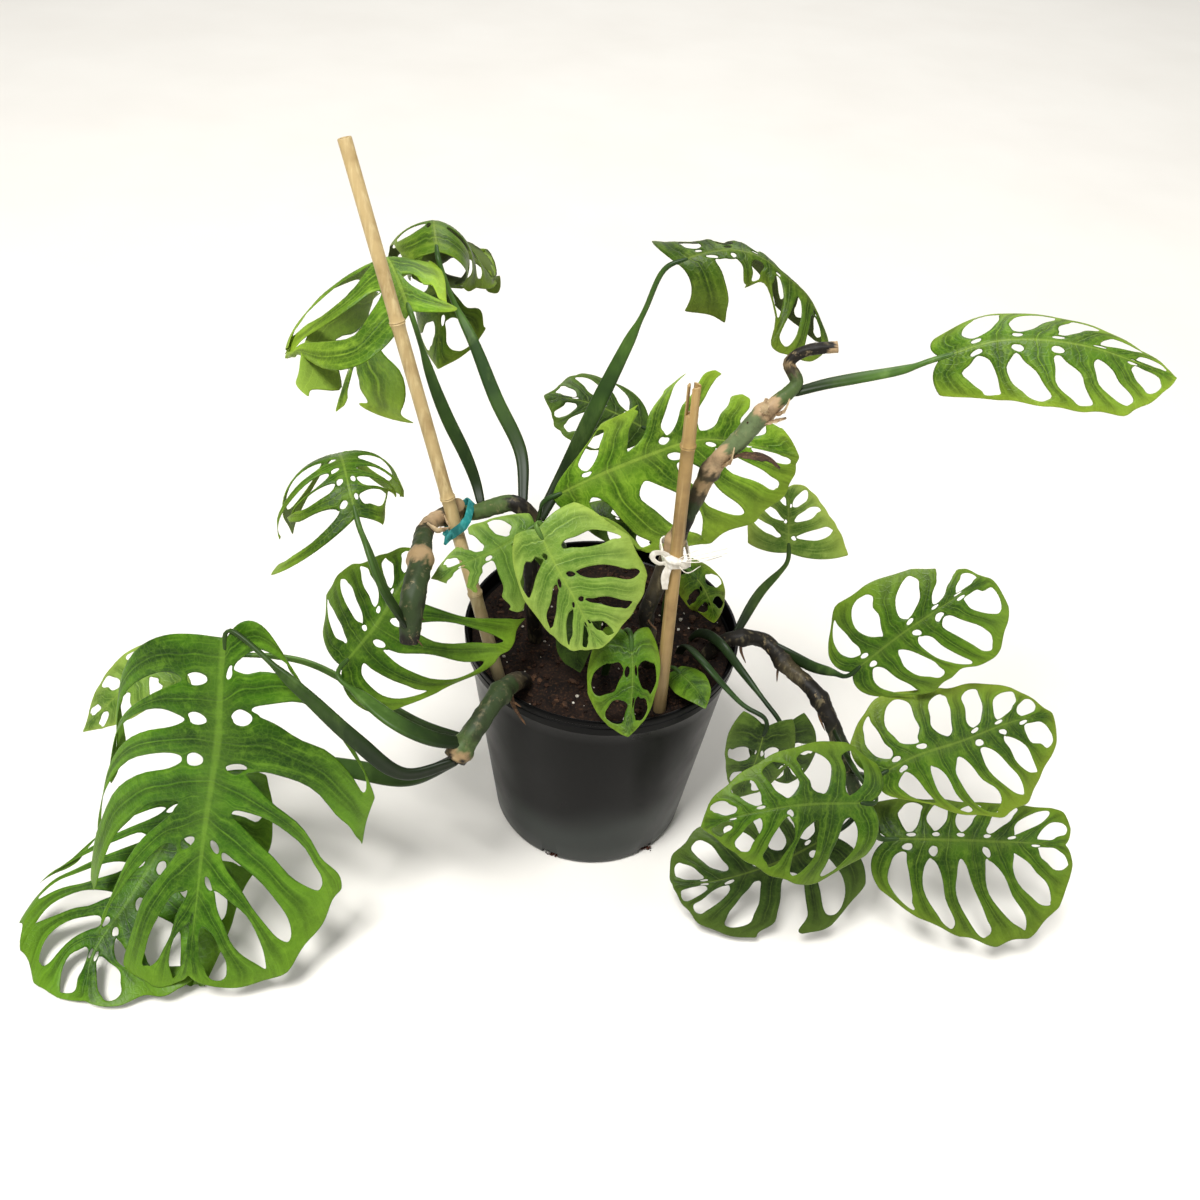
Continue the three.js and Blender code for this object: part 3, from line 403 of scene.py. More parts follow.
# the midrib's groove above, and its ridge below at the base and the tip
ribGroove, ribDepth, ribTip = 0.7, 2.2, 0.4
quiltShare, quiltMost = 0.012, 1.3
slotShare = 0.42
tipShare = 0.06
bowShare, bowGain, easyBow = 0.55, 0.004, 18
waveTurns = 11
rippleShare, rippleTurns = 0.022, 3.1
slotDrift, slotDriftRamp, rowDrift, slotRough = 0.12, 3, 0.04, 0.2
marginRough, marginTurns = 0.02, 41
neckLead, neckRun, neckRadius = 8, 10, 2.3
sideSeed = dict(left=7, right=0)
slotForm = [0.3, 0.6, 0.95, 1, 0.75, 0.25]
openForm = [0.3, 0.6, 0.95, 1, 1.1, 1.4]
# how far out each row lies, and how much of the slot's width it keeps
fineRows = [(0, 1), (0.03, 0.9), (0.055, 0.6), (0.08, 1.1), (0.105, 1.1), (0.13, 0.6), (0.16, 0.35),
            (0.19, 0.8), (0.25, 1.08), (0.36, 1.1), (0.5, 1.05), (0.64, 1.04), (0.76, 1.05),
            (0.83, 0.95), (0.88, 0.45), (0.92, 0.6), (0.96, 0.8), (1, 0.6)]
# the rows that pinholes and slots take up, and the draw under which a slot has no pinhole
pinhole, opening, pinholeLeast = (2, 5), (6, 14), -0.35
stripCells = 4
slotStep = stripCells + 2
# how far each column of a strip is lifted
quilt = [0, 0.75, 0.1, 0.75, 0]


def bladePlaces(leaf, path, side, share, out):
    form = leaf[side]
    length, seed = path.length, leaf["seed"]
    reach = along([*form["reach"], length * tipShare], share)
    reach = reach * (1 + marginRough * np.sin(seed * 5 + share * marginTurns) * out ** 3)
    angle, bow = np.radians(along([*form["angle"], 0], share)), along(form["bow"], share)
    bowed = angle + np.radians(bow)
    bendIn, bendOut = (np.radians(base + (tip - base) * share) for base, tip in zip(*form["bend"]))
    pull = bowShare + bowGain * np.maximum(0, bow - easyBow)
    early, late = 2 * out * (1 - out) * pull, out * out
    down = reach * (early * np.cos(bowed) + late * np.cos(angle)) + length * (1 - tipShare) * share
    across = reach * (early * np.sin(bowed) + late * np.sin(angle))
    turn = (bendOut - bendIn) * out
    flat = np.abs(turn) < 1e-5
    safe = np.where(flat, 1, turn)
    outward = np.where(flat, np.cos(bendIn), (np.sin(bendIn + turn) - np.sin(bendIn)) / safe)
    drop = np.where(flat, np.sin(bendIn), (np.cos(bendIn) - np.cos(bendIn + turn)) / safe)
    rise = leaf.get("wave", 0) * late * np.sin(seed + share * waveTurns) * np.sin(angle)
    # the margin's own slow waves
    phase = seed * 1.7 + (2.1 if side == "left" else 0)
    size = rippleShare * max(form["reach"]) * out ** 2
    waves = np.sin(phase + share * leaf["strips"] * rippleTurns)
    rise = rise + size * waves * np.sin(np.pi * share) ** 0.5
    spot = np.clip(down / length, 0, 1)
    place, tangent = path.at(spot), path.tangent(spot)
    place = place + tangent * (down - spot * length)[:, None]
    face = np.array(leaf["face"], float)
    normal = face + (np.array(leaf.get("faceEnd", face)) - face) * spot[:, None]
    normal = unit(normal - tangent * (normal * tangent).sum(1)[:, None])
    right = np.cross(tangent, normal) * (1 if side == "right" else -1)
    return place + right * (across * outward)[:, None] + normal * (rise - across * drop)[:, None]


def slotEdges(leaf, side, slot, out, keep):
    # the two edges of a slot, as shares of the midrib; each wanders a little on its own
    count, seed = leaf["strips"], leaf["seed"] + sideSeed[side]
    drift = slotDrift * wobble(seed, slot) * min(1, out * slotDriftRamp)
    free = slot in leaf.get("open", {}).get(side, []) and out > 0.3
    form = openForm if free else slotForm
    apart = (leaf.get("slots") or slotShare) / 2 / count * float(along(form, out)) * (1 if free else keep)
    middle = (slot + drift) / count
    low, high = (noise.noise(Vector((out * 6, slot * 3.1 + edge, seed))) for edge in (0, 17))
    rough = slotRough / count * min(1, out * 4)
    return middle - apart + rough * low, middle + apart + rough * high


def columnAt(leaf, side, column, out, keep):
    # share of the midrib for a column of the grid: four cells a strip, two a slot
    strip, inside = divmod(column, slotStep)
    if inside > stripCells:
        return sum(slotEdges(leaf, side, strip + 1, out, keep)) / 2
    low = slotEdges(leaf, side, strip, out, keep)[1] if strip else 0
    high = slotEdges(leaf, side, strip + 1, out, keep)[0] if strip < leaf["strips"] - 1 else 1
    return low + (high - low) * inside / stripCells


def bladeGrid(leaf):
    # the corners of the blade's grid, its four-cornered cells and their map places
    # each corner: is it left, its share of the midrib, how far out, how far lifted
    rows, tip = len(fineRows), leaf["strips"] * slotStep - 2
    keys, order, cells, maps = {}, [], [], []

    def corner(side, column, row):
        shared = "rib%d" % column if row == 0 else "tip%d" % row if column == tip else None
        key = shared or (side, column, row)
        if key not in keys:
            out, keep = fineRows[row]
            if 0 < row < rows - 1:
                fade = min(1, out * 4, (1 - out) * 6)
                slot = (column + 1) // slotStep
                out = out + rowDrift * wobble(leaf["seed"] + sideSeed[side], -slot) * fade
            inside = column % slotStep
            keys[key] = len(order)
            order.append((side == "left", columnAt(leaf, side, column, out, keep), out,
                          quilt[inside] if inside <= stripCells else 0))
        return keys[key]

    for side in ("left", "right"):
        opened, missing = (leaf.get(key, {}).get(side, []) for key in ("open", "missing"))
        for column in range(tip):
            strip, inside = divmod(column, slotStep)
            slot = strip + 1 if inside >= stripCells else 0
            chance = wobble(leaf["seed"] * 3.1 + sideSeed[side], slot)
            for row in range(rows - 1):
                tiny = pinhole[0] <= row < pinhole[1] and chance > pinholeLeast
                wide = opening[0] <= row < (rows if slot in opened else opening[1])
                if slot and leaf.get("slots") != 0 and (tiny or wide):
                    continue
                if not slot and strip in missing and row >= opening[0]:
                    continue
                face = [corner(side, column, row), corner(side, column, row + 1),
                        corner(side, column + 1, row + 1), corner(side, column + 1, row)]
                low, high = (inside / stripCells, (inside + 1) / stripCells) if not slot else (0, 0)
                near, far = fineRows[row][0], fineRows[row + 1][0]
                spot = [(low, near), (low, far), (high, far), (high, near)]
                back = -1 if side == "left" else 1
                cells.append(face[::back])
                maps.append(spot[::back])
    return np.array(order, float).T, cells, maps


def bladeOf(build, leaf, path):
    (left, shares, outs, lifts), cells, maps = bladeGrid(leaf)
    total = len(left)
    places = np.zeros((total, 3))
    for side in ("left", "right"):
        mine = left == (side == "left")
        places[mine] = bladePlaces(leaf, path, side, shares[mine], outs[mine])
    normals, quads = np.zeros_like(places), np.array(cells)
    turned = np.cross(places[quads[:, 2]] - places[quads[:, 0]], places[quads[:, 3]] - places[quads[:, 1]])
    for k in range(4):
        np.add.at(normals, quads[:, k], turned)
    normals = unit(normals)
    onRib = outs < 0.001
    relief = min(quiltMost, quiltShare * max(leaf["left"]["reach"] + leaf["right"]["reach"]))
    lifted = lifts * np.sin(np.pi * np.clip(outs * 1.1, 0, 1)) * relief
    places = places + normals * (lifted + np.where(onRib, -ribGroove, 0))[:, None]
    thick = (bladeHeart + (bladeEdge - bladeHeart) * np.sqrt(outs)) / 2
    rib = np.where(onRib, ribDepth * (1 - shares) + ribTip, 0)
    veinRidge = np.where((lifts > 0.05) & (lifts < 0.5), veinDepth * (1 - outs), 0)
    upper = places + normals * thick[:, None]
    lower = places - normals * (thick + rib + veinRidge)[:, None]
    faces, slots, spots, edges = [], [], [], {}
    for face, spot in zip(cells, maps):
        faces += [face, [total + number for number in face[::-1]]]
        slots += [0, 1]
        spots += [spot, spot[::-1]]
        for k in range(4):
            edges[(face[k], face[(k + 1) % 4])] = (spot[k], spot[(k + 1) % 4])
    for (a, b), (mapA, mapB) in edges.items():
        if (b, a) not in edges:
            faces.append([b, a, total + a, total + b])
            slots.append(0)
            spots.append([mapB, mapA, mapA, mapB])
    build.add(np.vstack([upper, lower]), faces, slots, spots, [leaf["tone"]] * (total * 2))


def stalkOf(build, leaf, path):
    base, ahead = path.points[0], path.tangent(0)[0]
    route = Path([*leaf["petiole"], base - ahead * neckLead, base + ahead * neckRun])
    broad, end = leaf["sheath"], leaf.get("sheathEnd", 0.7)

    def shapeAt(share, turns):
        swell = 0.62 + 0.38 * math.sin(math.pi * min(share / end, 1))
        wing = 1 - float(ease(share, end - 0.02, end + 0.05))
        slim = neckRadius * (0.75 if share > 0.97 else 1)
        across = slim + (broad * swell - slim) * wing
        through = slim + (broad * 0.5 - slim) * wing
        furrow = 0.55 * wing * np.exp(-(np.cos(turns) / 0.5) ** 2) * (np.sin(turns) > 0)
        return across * np.cos(turns), through * (np.sin(turns) - furrow)

    # how dark the petiole is: painted shade
    tone = (leaf.get("stalk", 0.1), 0, 0)
    tube(build, route, max(12, int(route.length / 7)), 12, shapeAt, 2, lambda share, turn: tone)


def half(reach, angle, bend, bow=(18, 0)):
    # one half of a blade, from base to tip: how far the margin reaches and at what angle,
    # how the half bends down at the midrib and at the margin, and how it bows
    return dict(reach=reach, angle=angle, bend=bend, bow=bow)


# tone: how bright (partly the leaf's own tone, partly painted light and shade), how yellow and how
# pale-rimmed; stalk: how dark the petiole is, painted shade
leaves = dict(
    front_left=dict(
        midrib=[(-300, -157, 330), (-309, -190, 245), (-327, -225, 139), (-337, -281, 39)],
        petiole=[(-115, -176, 227), (-155, -190, 222), (-194, -192, 262), (-237, -182, 304)],
        left=half([61, 74, 150, 169, 156, 145, 121, 75], [62, 79, 66, 52, 46, 40, 37, 26], [(5, 40),
            (5, 10)], [95, 50, 14, 8, 0]),
        right=half([183, 166, 179, 165, 105], [33, 40, 40, 31, 17], [(5, 40), (5, 10)],
            [56, 44, 30, 15, 0]),
        face=(0, -0.8, 0.6), strips=8, seed=1, slots=0.56, sheath=8, tone=(0.48, 0.2, 0.2), stalk=0.9,
            open=dict(left=[1, 3], right=[2, 3, 4, 5])),
    floor_left=dict(
        midrib=[(-359, -123, 115), (-386, -173, 80), (-412, -223, 48), (-432, -262, 24), (-427, -298, 10)],
        petiole=[(-114, -166, 220), (-157, -160, 183), (-216, -140, 166), (-264, -130, 158),
            (-320, -122, 150)],
        left=half([57, 88, 86, 134, 72], [122, 108, 89, 46, 41], [(5, 15), (5, 8)], [25, 0]),
        right=half([138, 145, 124, 93, 57], [29, 36, 42, 49, 46], [(5, 15), (5, 5)], [25, 0]),
        face=(-0.1, -0.65, 0.75), strips=7, seed=2, slots=0.6, sheath=10, tone=(0.44, 0.15, 0.2),
            stalk=0.0, open=dict(right=[2])),
    far_left=dict(
        midrib=[(-371, -98, 236), (-397, -104, 231), (-423, -116, 213), (-460, -130, 172)],
        petiole=[(-103, -156, 235), (-150, -132, 224), (-204, -108, 232), (-262, -94, 250),
            (-335, -94, 248)],
        left=half([20, 30, 32, 26, 16], [110, 70, 55, 45, 35], [(5, 20), (5, 10)]),
        right=half([20, 34, 36, 30, 16], [110, 70, 55, 45, 35], [(5, 20), (5, 10)]),
        face=(-0.3, -0.6, 0.7), strips=4, seed=3, finish="leaf_pale", sheath=5),
    left_pair=dict(
        midrib=[(-214, -138, 290), (-187, -122, 326), (-169, -100, 353), (-156, -72, 366)],
        petiole=[(-108, -168, 242), (-134, -178, 256), (-163, -176, 270), (-194, -158, 278)],
        left=half([43, 71, 73, 58, 38], [88, 89, 68, 49, 35], [(45, 60), (45, 60)]),
        right=half([54, 80, 108, 126, 132, 33], [113, 83, 77, 63, 56, 41], [(5, 10), (5, 10)],
            [40, 30, 10, 0]),
        face=(0.3, -0.75, 0.6), strips=6, seed=4, slots=0.5, sheath=9, tone=(0.42, 0.35, 0.3), stalk=0.3,
            open=dict(right=[4, 5]), missing=dict(right=[4])),
    small_curled=dict(
        midrib=[(-193, -130, 442), (-202, -112, 460), (-213, -82, 460), (-226, -48, 442)],
        petiole=[(-149, -164, 362), (-158, -170, 387), (-168, -168, 408), (-182, -150, 432)],
        left=half([92, 84, 56, 84, 102, 82], [104, 108, 88, 98, 92, 66], [(0, 60), (-20, 118)],
            [20, 20, 30, 30, 0]),
        right=half([25, 36, 48, 60, 72, 58], [110, 100, 92, 96, 90, 62], [(0, 70), (-20, 130)],
            [0, 10, 30, 30, 0]),
        face=(0, -0.3, 1), strips=6, seed=5, slots=0.72, sheath=6, tone=(0.52, 0.5, 0.5), stalk=0.6,
            open=dict(left=[1, 2, 3, 4], right=[3])),
    tall_left=dict(
        midrib=[(-172, 6, 545), (-189, 42, 558), (-206, 80, 554), (-227, 110, 500), (-249, 114, 430),
            (-268, 110, 380)],
        petiole=[(-112, -24, 385), (-118, -11, 398), (-128, -3, 420), (-144, 3, 452), (-155, 5, 482),
            (-163, 5, 512)],
        left=half([139, 121, 117, 149, 48], [64, 86, 103, 104, 20], [(0, 72), (10, 30)],
            [80, 50, 25, 10, 0]),
        right=half([40, 52, 38, 30, 14], [86, 142, 50, 50, 35], [(5, 30), (10, 30)]),
        face=(0, -0.2, 1), strips=6, seed=6, slots=0.5, sheath=6, tone=(0.86, 0.65, 0.3), stalk=0.25,
            open=dict(left=[3, 4, 5])),
    tall_centre=dict(
        midrib=[(-164, 92, 557), (-173, 130, 565), (-178, 176, 543), (-181, 198, 498), (-182, 200, 440),
            (-184, 196, 385)],
        petiole=[(-76, -26, 392), (-82, 8, 420), (-107, 34, 456), (-129, 58, 494), (-151, 80, 524)],
        left=half([36, 46, 58, 66, 50], [75, 70, 66, 64, 50], [(10, 60), (0, 10)]),
        right=half([66, 78, 82, 80, 56], [80, 74, 66, 60, 45], [(10, 140), (10, 60)]),
        face=(0, -0.2, 1), strips=6, seed=7, slots=0.5, sheath=6.5, tone=(0.42, 0.75, 0.1), stalk=0.1,
            open=dict(left=[3, 4], right=[4])),
    back_centre=dict(
        midrib=[(29, 80, 407), (-2, 81, 422), (-34, 80, 433), (-70, 78, 437)],
        petiole=[(-67, -29, 345), (-40, 22, 362), (0, 62, 384)],
        left=half([50, 49, 53, 42, 22], [42, 56, 43, 38, 41], [(5, 20), (5, 20)], [40, 25, 8, 0]),
        right=half([59, 47, 42, 33, 17], [25, 36, 42, 39, 31], [(5, 20), (5, 20)], [40, 25, 8, 0]),
        face=(0, -0.7, 0.7), strips=4, seed=8, slots=0.6, finish="leaf_deep", sheath=4,
            tone=(0.5, 0.5, 0.3)),
    centre_right=dict(
        midrib=[(-51, -42, 412), (-15, -36, 434), (3, -28, 440), (30, -16, 447), (54, -6, 453),
            (76, 0, 455), (110, 2, 451), (151, -4, 450)],
        petiole=[(-66, -34, 372), (-60, -38, 392)],
        left=half([37, 45, 58, 75, 48, 33], [27, 56, 48, 58, 73, 75], [(0, 10), (0, 10)], [20, 10, 0]),
        right=half([32, 83, 132, 112, 86, 49], [50, 71, 43, 34, 22, 13], [(0, 5), (0, 5)], [40, 25, 8, 0]),
        face=(0, -0.95, 0.35), strips=6, seed=9, slots=0.5, sheath=4, tone=(0.72, 0.62, 0.2),
            open=dict(left=[2, 3, 4, 5])),
    centre_front=dict(
        midrib=[(-59, -82, 409), (-42, -98, 385), (-22, -112, 358), (-1, -120, 319)],
        petiole=[(-65, -34, 337), (-38, -56, 368), (-46, -76, 397)],
        left=half([38, 70, 73, 55, 30], [100, 70, 60, 52, 38], [(0, 25), (0, 15)]),
        right=half([20, 48, 55, 48, 28], [100, 50, 36, 30, 25], [(0, 25), (0, 15)]),
        face=(0, -0.8, 0.6), strips=5, seed=10, slots=0.34, finish="leaf_pale", sheath=4,
            tone=(0.58, 0.55, 0.3)),
    centre_left=dict(
        midrib=[(-63, -56, 392), (-90, -76, 382), (-118, -96, 377), (-142, -112, 372)],
        petiole=[(-68, -32, 352), (-70, -44, 372), (-62, -50, 384)],
        left=half([24, 58, 56, 30, 16], [96, 94, 84, 66, 40], [(0, 25), (0, 20)]),
        right=half([12, 24, 30, 20, 14], [100, 80, 66, 50, 35], [(0, 20), (0, 15)]),
        face=(0, -0.8, 0.6), strips=4, seed=11, slots=0.5, finish="leaf_pale", sheath=4,
            tone=(0.4, 0.35, 0.3), open=dict(left=[1, 2, 3], right=[2])),
    right_arch=dict(
        midrib=[(33, 30, 593), (52, 33, 601), (76, 36, 605), (98, 36, 601), (117, 34, 590), (140, 30, 574),
            (162, 24, 540)],
        petiole=[(-62, -24, 374), (-41, 4, 414), (-18, 15, 475), (-1, 22, 519), (12, 26, 552)],
        left=half([99, 44, 56, 60, 40], [95, 100, 80, 60, 40], [(10, 60), (20, 80)]),
        right=half([42, 82, 33, 14, 62, 48], [99, 43, 65, 60, 63, 50], [(20, 95), (20, 60)],
            [-45, 0, 10, 0]),
        face=(0, -0.35, 0.95), faceEnd=(1, 0, 0.3), strips=7, seed=12, slots=0.5, sheath=7.5,
            tone=(0.31, 0.7, 0.2), stalk=0.3, open=dict(right=[1, 2]), missing=dict(right=[1])),
    far_right=dict(
        midrib=[(235, -38, 567), (274, -40, 586), (329, -48, 592), (402, -60, 578)],
        petiole=[(127, -57, 537), (150, -52, 544), (175, -47, 549), (212, -41, 557)],
        left=half([24, 40, 48, 50, 36], [95, 65, 45, 35, 25], [(30, 60), (30, 60)], [40, 25, 8, 0]),
        right=half([28, 48, 62, 64, 40], [105, 70, 50, 38, 28], [(0, 10), (0, 10)], [40, 25, 8, 0]),
        face=(0.05, -0.75, 0.65), strips=6, seed=13, slots=0.6, sheath=7, sheathEnd=0.72,
            tone=(0.58, 0.6, 0.4)),
    right_small=dict(
        midrib=[(164, 20, 328), (160, 30, 358), (157, 45, 383)],
        petiole=[(122, -22, 256), (143, 5, 291), (160, 14, 312)],
        left=half([38, 42, 36, 28, 18], [75, 62, 55, 50, 35], [(0, 15), (0, 15)]),
        right=half([58, 50, 40, 32, 22], [98, 88, 75, 60, 40], [(0, 15), (0, 15)]),
        face=(0, -0.75, 0.65), strips=4, seed=14, finish="leaf_pale", sheath=5, tone=(0.6, 0.6, 0.6),
            stalk=0.8),
    right_top=dict(
        midrib=[(225, -70, 270), (261, -65, 318), (299, -52, 350), (324, -38, 364)],
        petiole=[(152, -20, 254), (175, -32, 250), (195, -48, 252), (212, -62, 260)],
        left=half([26, 55, 53, 44, 30], [105, 88, 70, 45, 30], [(0, 10), (0, 10)], [40, 25, 8, 0]),
        right=half([26, 61, 60, 72, 54], [100, 78, 66, 66, 50], [(0, 10), (0, 10)], [40, 25, 8, 0]),
        face=(0, -0.75, 0.65), strips=6, seed=15, slots=0.62, sheath=7, tone=(0.34, 0.45, 0.2), stalk=0.7,
            open=dict(left=[4])),
    right_middle=dict(
        midrib=[(255, -130, 205), (286, -120, 223), (328, -104, 231), (371, -84, 238), (413, -66, 238)],
        petiole=[(237, -102, 174), (245, -120, 192)],
        left=half([38, 61, 51, 46, 30], [104, 97, 81, 65, 42], [(3, 12), (0, 10)], [45, 25, 8, 0]),
        right=half([23, 64, 86, 84, 56], [90, 68, 68, 60, 50], [(0, 10), (0, 10)], [45, 25, 8, 0]),
        face=(0, -0.75, 0.65), strips=7, seed=16, slots=0.62, sheath=5, tone=(0.36, 0.5, 0.8), stalk=0.7),
    right_low=dict(
        midrib=[(283, -128, 117), (322, -127, 120), (360, -124, 120), (451, -118, 117)],
        petiole=[(262, -118, 135), (268, -124, 126)],
        left=half([38, 40, 42, 52, 58], [115, 75, 60, 45, 35], [(10, 40), (10, 40)], [40, 25, 8, 0]),
        right=half([50, 88, 110, 104, 64], [98, 76, 67, 58, 42], [(0, 10), (0, 10)], [50, 30, 8, 0]),
        face=(0, -0.75, 0.65), strips=7, seed=17, slots=0.6, sheath=4, tone=(0.3, 0.5, 0.3), stalk=0.7),
    right_front=dict(
        midrib=[(243, -165, 207), (180, -180, 214), (126, -188, 201), (98, -188, 184)],
        petiole=[(217, -80, 210), (222, -108, 214), (235, -142, 213)],
        left=half([48, 80, 73, 56, 33], [90, 70, 57, 45, 33], [(0, 20), (0, 10)], [40, 25, 8, 0]),
        right=half([34, 54, 50, 41, 29], [105, 95, 75, 58, 38], [(0, 20), (0, 10)], [50, 30, 8, 0]),
        face=(0, -0.75, 0.65), strips=6, seed=18, slots=0.6, sheath=4, tone=(0.3, 0.4, 0.3), stalk=0.8),
    right_floor=dict(
        midrib=[(230, -125, 111), (187, -137, 82), (131, -146, 56), (88, -146, 44)],
        petiole=[(255, -113, 148), (248, -118, 128)],
        left=half([58, 80, 76, 62, 38], [95, 78, 60, 42, 30], [(0, 10), (0, 5)], [40, 25, 8, 0]),
        right=half([38, 50, 54, 66, 46], [105, 90, 70, 55, 35], [(0, 10), (0, 5)], [50, 30, 8, 0]),
        face=(0, -0.75, 0.65), strips=6, seed=19, slots=0.6, finish="leaf_deep", sheath=4,
            tone=(0.32, 0.5, 0.4), stalk=0.7, open=dict(left=[2])),
    inner_left=dict(
        midrib=[(152, -105, 227), (150, -110, 200), (145, -113, 170), (136, -115, 140)],
        petiole=[(72, -12, 205), (78, -26, 244), (94, -66, 262), (112, -82, 252), (132, -94, 240)],
        left=half([26, 32, 30, 26, 16], [120, 85, 60, 45, 30], [(0, 10), (0, 10)]),
        right=half([26, 32, 30, 26, 16], [120, 85, 60, 45, 30], [(0, 10), (0, 10)]),
        face=(0, -0.8, 0.6), strips=3, seed=20, finish="leaf_deep", sheath=5),
    inner_right=dict(
        midrib=[(170, -92, 212), (176, -95, 190), (182, -97, 165), (186, -98, 148)],
        petiole=[(80, 8, 205), (90, -2, 240), (108, -34, 260), (131, -54, 244), (154, -78, 230)],
        left=half([26, 32, 32, 26, 16], [120, 80, 60, 45, 30], [(0, 10), (0, 10)]),
        right=half([26, 34, 32, 26, 16], [120, 85, 60, 45, 30], [(0, 10), (0, 10)]),
        face=(0, -0.8, 0.6), strips=3, seed=29, finish="leaf_deep", sheath=5, tone=(0.36, 0.4, 0.3),
            stalk=0.6),
    pot_front=dict(
        midrib=[(25, -95, 309), (29, -112, 290), (30, -132, 264), (30, -150, 247)],
        petiole=[(5, -50, 205), (8, -60, 250), (18, -78, 300)],
        left=half([20, 26, 24, 22, 14], [120, 85, 65, 50, 35], [(0, 30), (0, 20)], [40, 25, 8, 0]),
        right=half([26, 42, 44, 34, 20], [120, 80, 60, 45, 35], [(0, 30), (0, 20)], [40, 25, 8, 0]),
        face=(0, -0.7, 0.7), strips=3, seed=21, slots=0.66, sheath=4, tone=(0.34, 0.4, 0.3)),
    under_centre=dict(
        midrib=[(-19, -5, 370), (5, -8, 369), (30, -11, 363), (55, -15, 353)],
        petiole=[(-68, -26, 330), (-50, -15, 355), (-35, -8, 366)],
        left=half([12, 20, 20, 18, 12], [105, 75, 60, 50, 35], [(0, 20), (0, 20)]),
        right=half([12, 22, 24, 22, 14], [105, 75, 60, 50, 35], [(0, 20), (0, 20)]),
        face=(0, -0.7, 0.7), strips=3, seed=22, finish="leaf_deep", sheath=4),
    crinkled=dict(
        midrib=[(77, 20, 296), (90, 17, 284), (102, 12, 262), (106, 8, 246)],
        petiole=[(60, 30, 205), (58, 28, 250), (64, 24, 285)],
        left=half([15, 22, 24, 20, 12], [110, 80, 60, 50, 35], [(0, 40), (0, 40)]),
        right=half([15, 24, 26, 20, 12], [110, 80, 60, 50, 35], [(0, 40), (0, 40)]),
        face=(0, -0.6, 0.8), strips=3, seed=23, wave=4, sheath=4, tone=(0.6, 0.7, 0.6)),
    plain_rim=dict(
        midrib=[(70, -58, 243), (82, -82, 252), (90, -98, 254), (96, -112, 250)],
        petiole=[(50, -54, 205), (54, -54, 228), (61, -53, 239)],
        left=half([8, 16, 18, 16, 10], [110, 80, 65, 50, 35], [(0, 20), (0, 20)]),
        right=half([8, 16, 18, 16, 10], [110, 80, 65, 50, 35], [(0, 20), (0, 20)]),
        face=(0, -0.5, 0.85), strips=3, seed=24, slots=0, sheath=3, tone=(0.34, 0.35, 0.1), stalk=0.4),
    plain_front=dict(
        midrib=[(-10, -50, 297), (-18, -58, 286), (-22, -70, 270), (-16, -82, 252)],
        petiole=[(0, -20, 205), (2, -22, 260), (-2, -38, 295)],
        left=half([10, 18, 20, 16, 10], [110, 80, 65, 50, 35], [(0, 20), (0, 20)]),
        right=half([10, 20, 22, 18, 10], [110, 80, 65, 50, 35], [(0, 20), (0, 20)]),
        face=(0, -0.7, 0.7), strips=3, seed=25, slots=0, finish="leaf_deep", sheath=3,
            tone=(0.3, 0.35, 0.1), stalk=0.5))
# hanging blades whose underside takes the darker finish's underside colour: painted shade
shadedUnder = ["tall_centre", "right_arch"]
for name, leaf in leaves.items():
    key = leaf.setdefault("finish", "leaf")
    leaf.setdefault("tone", (0.5, 0.5, 0.4))
    build, path = Build(), Path(leaf["midrib"])
    bladeOf(build, leaf, path)
    stalkOf(build, leaf, path)
    upper, under, stalk = leafFinishes[key]
    if name in shadedUnder:
        under = leafFinishes["leaf_deep"][1]
    dress(build.make("leaf_%s_fine" % name, 1), [upper, under, stalk], key, ["leaf_" + name])
print("%d leaves made" % len(leaves))


# Stems: knotty, with papery or dark stretches, root stubs and dried sheaths
def plainFinish(name, base, dark, light, roughness, scale, height=0.35, gloss=0.3):
    sheet = Sheet(name, Roughness=roughness, Specular_IOR_Level=gloss)
    broad, fine = sheet.grain(scale, 4, 0.6), sheet.grain(scale * 7, 4, 0.65)
    ground = sheet.coats(colour(base), (broad.between(0.4, 0.65), dark),
                         (fine.between(0.48, 0.75) * 0.7, light))
    return sheet.finish(ground, fine * 0.6 + broad * 0.4, height, 0.0008)


def stemFinish():
    # the tone attribute holds the colour of each stretch
    sheet = Sheet("stemBark", Specular_IOR_Level=0.2)
    patches, fibres = sheet.grain(45, 5, 0.65), sheet.grain(160, 4, 0.6, (1, 1, 0.3))
    specks = sheet.grain(95, 5, 0.7)
    ground = sheet.coats(sheet.attribute("tone"), (patches.between(0.45, 0.7) * 0.6, "#1d1811"),
                         (fibres.between(0.52, 0.78) * 0.4, "#8d8160"),
                         (specks.between(0.6, 0.7) * 0.45, "#b09a74"))
    return sheet.finish(ground, patches * 0.6 + fibres * 0.4, 0.5, 0.0009, patches * 0.3 + 0.4)


stemBark = stemFinish()
dryBrown = plainFinish("dryBrown", "#4a3524", "#241912", "#7d6244", 0.75, 60)
dryPale = plainFinish("dryPale", "#b39c78", "#745b3f", "#d6c6a4", 0.8, 90)
rootBrown = plainFinish("rootBrown", "#5a4029", "#2d2016", "#8d6c48", 0.8, 80)
stemTints = dict(green="#46582e", dark="#181510", tan="#8f7856", paper="#a88e6c", bark="#3d3626",
                 deep="#2d3a1f", grey="#61704a")
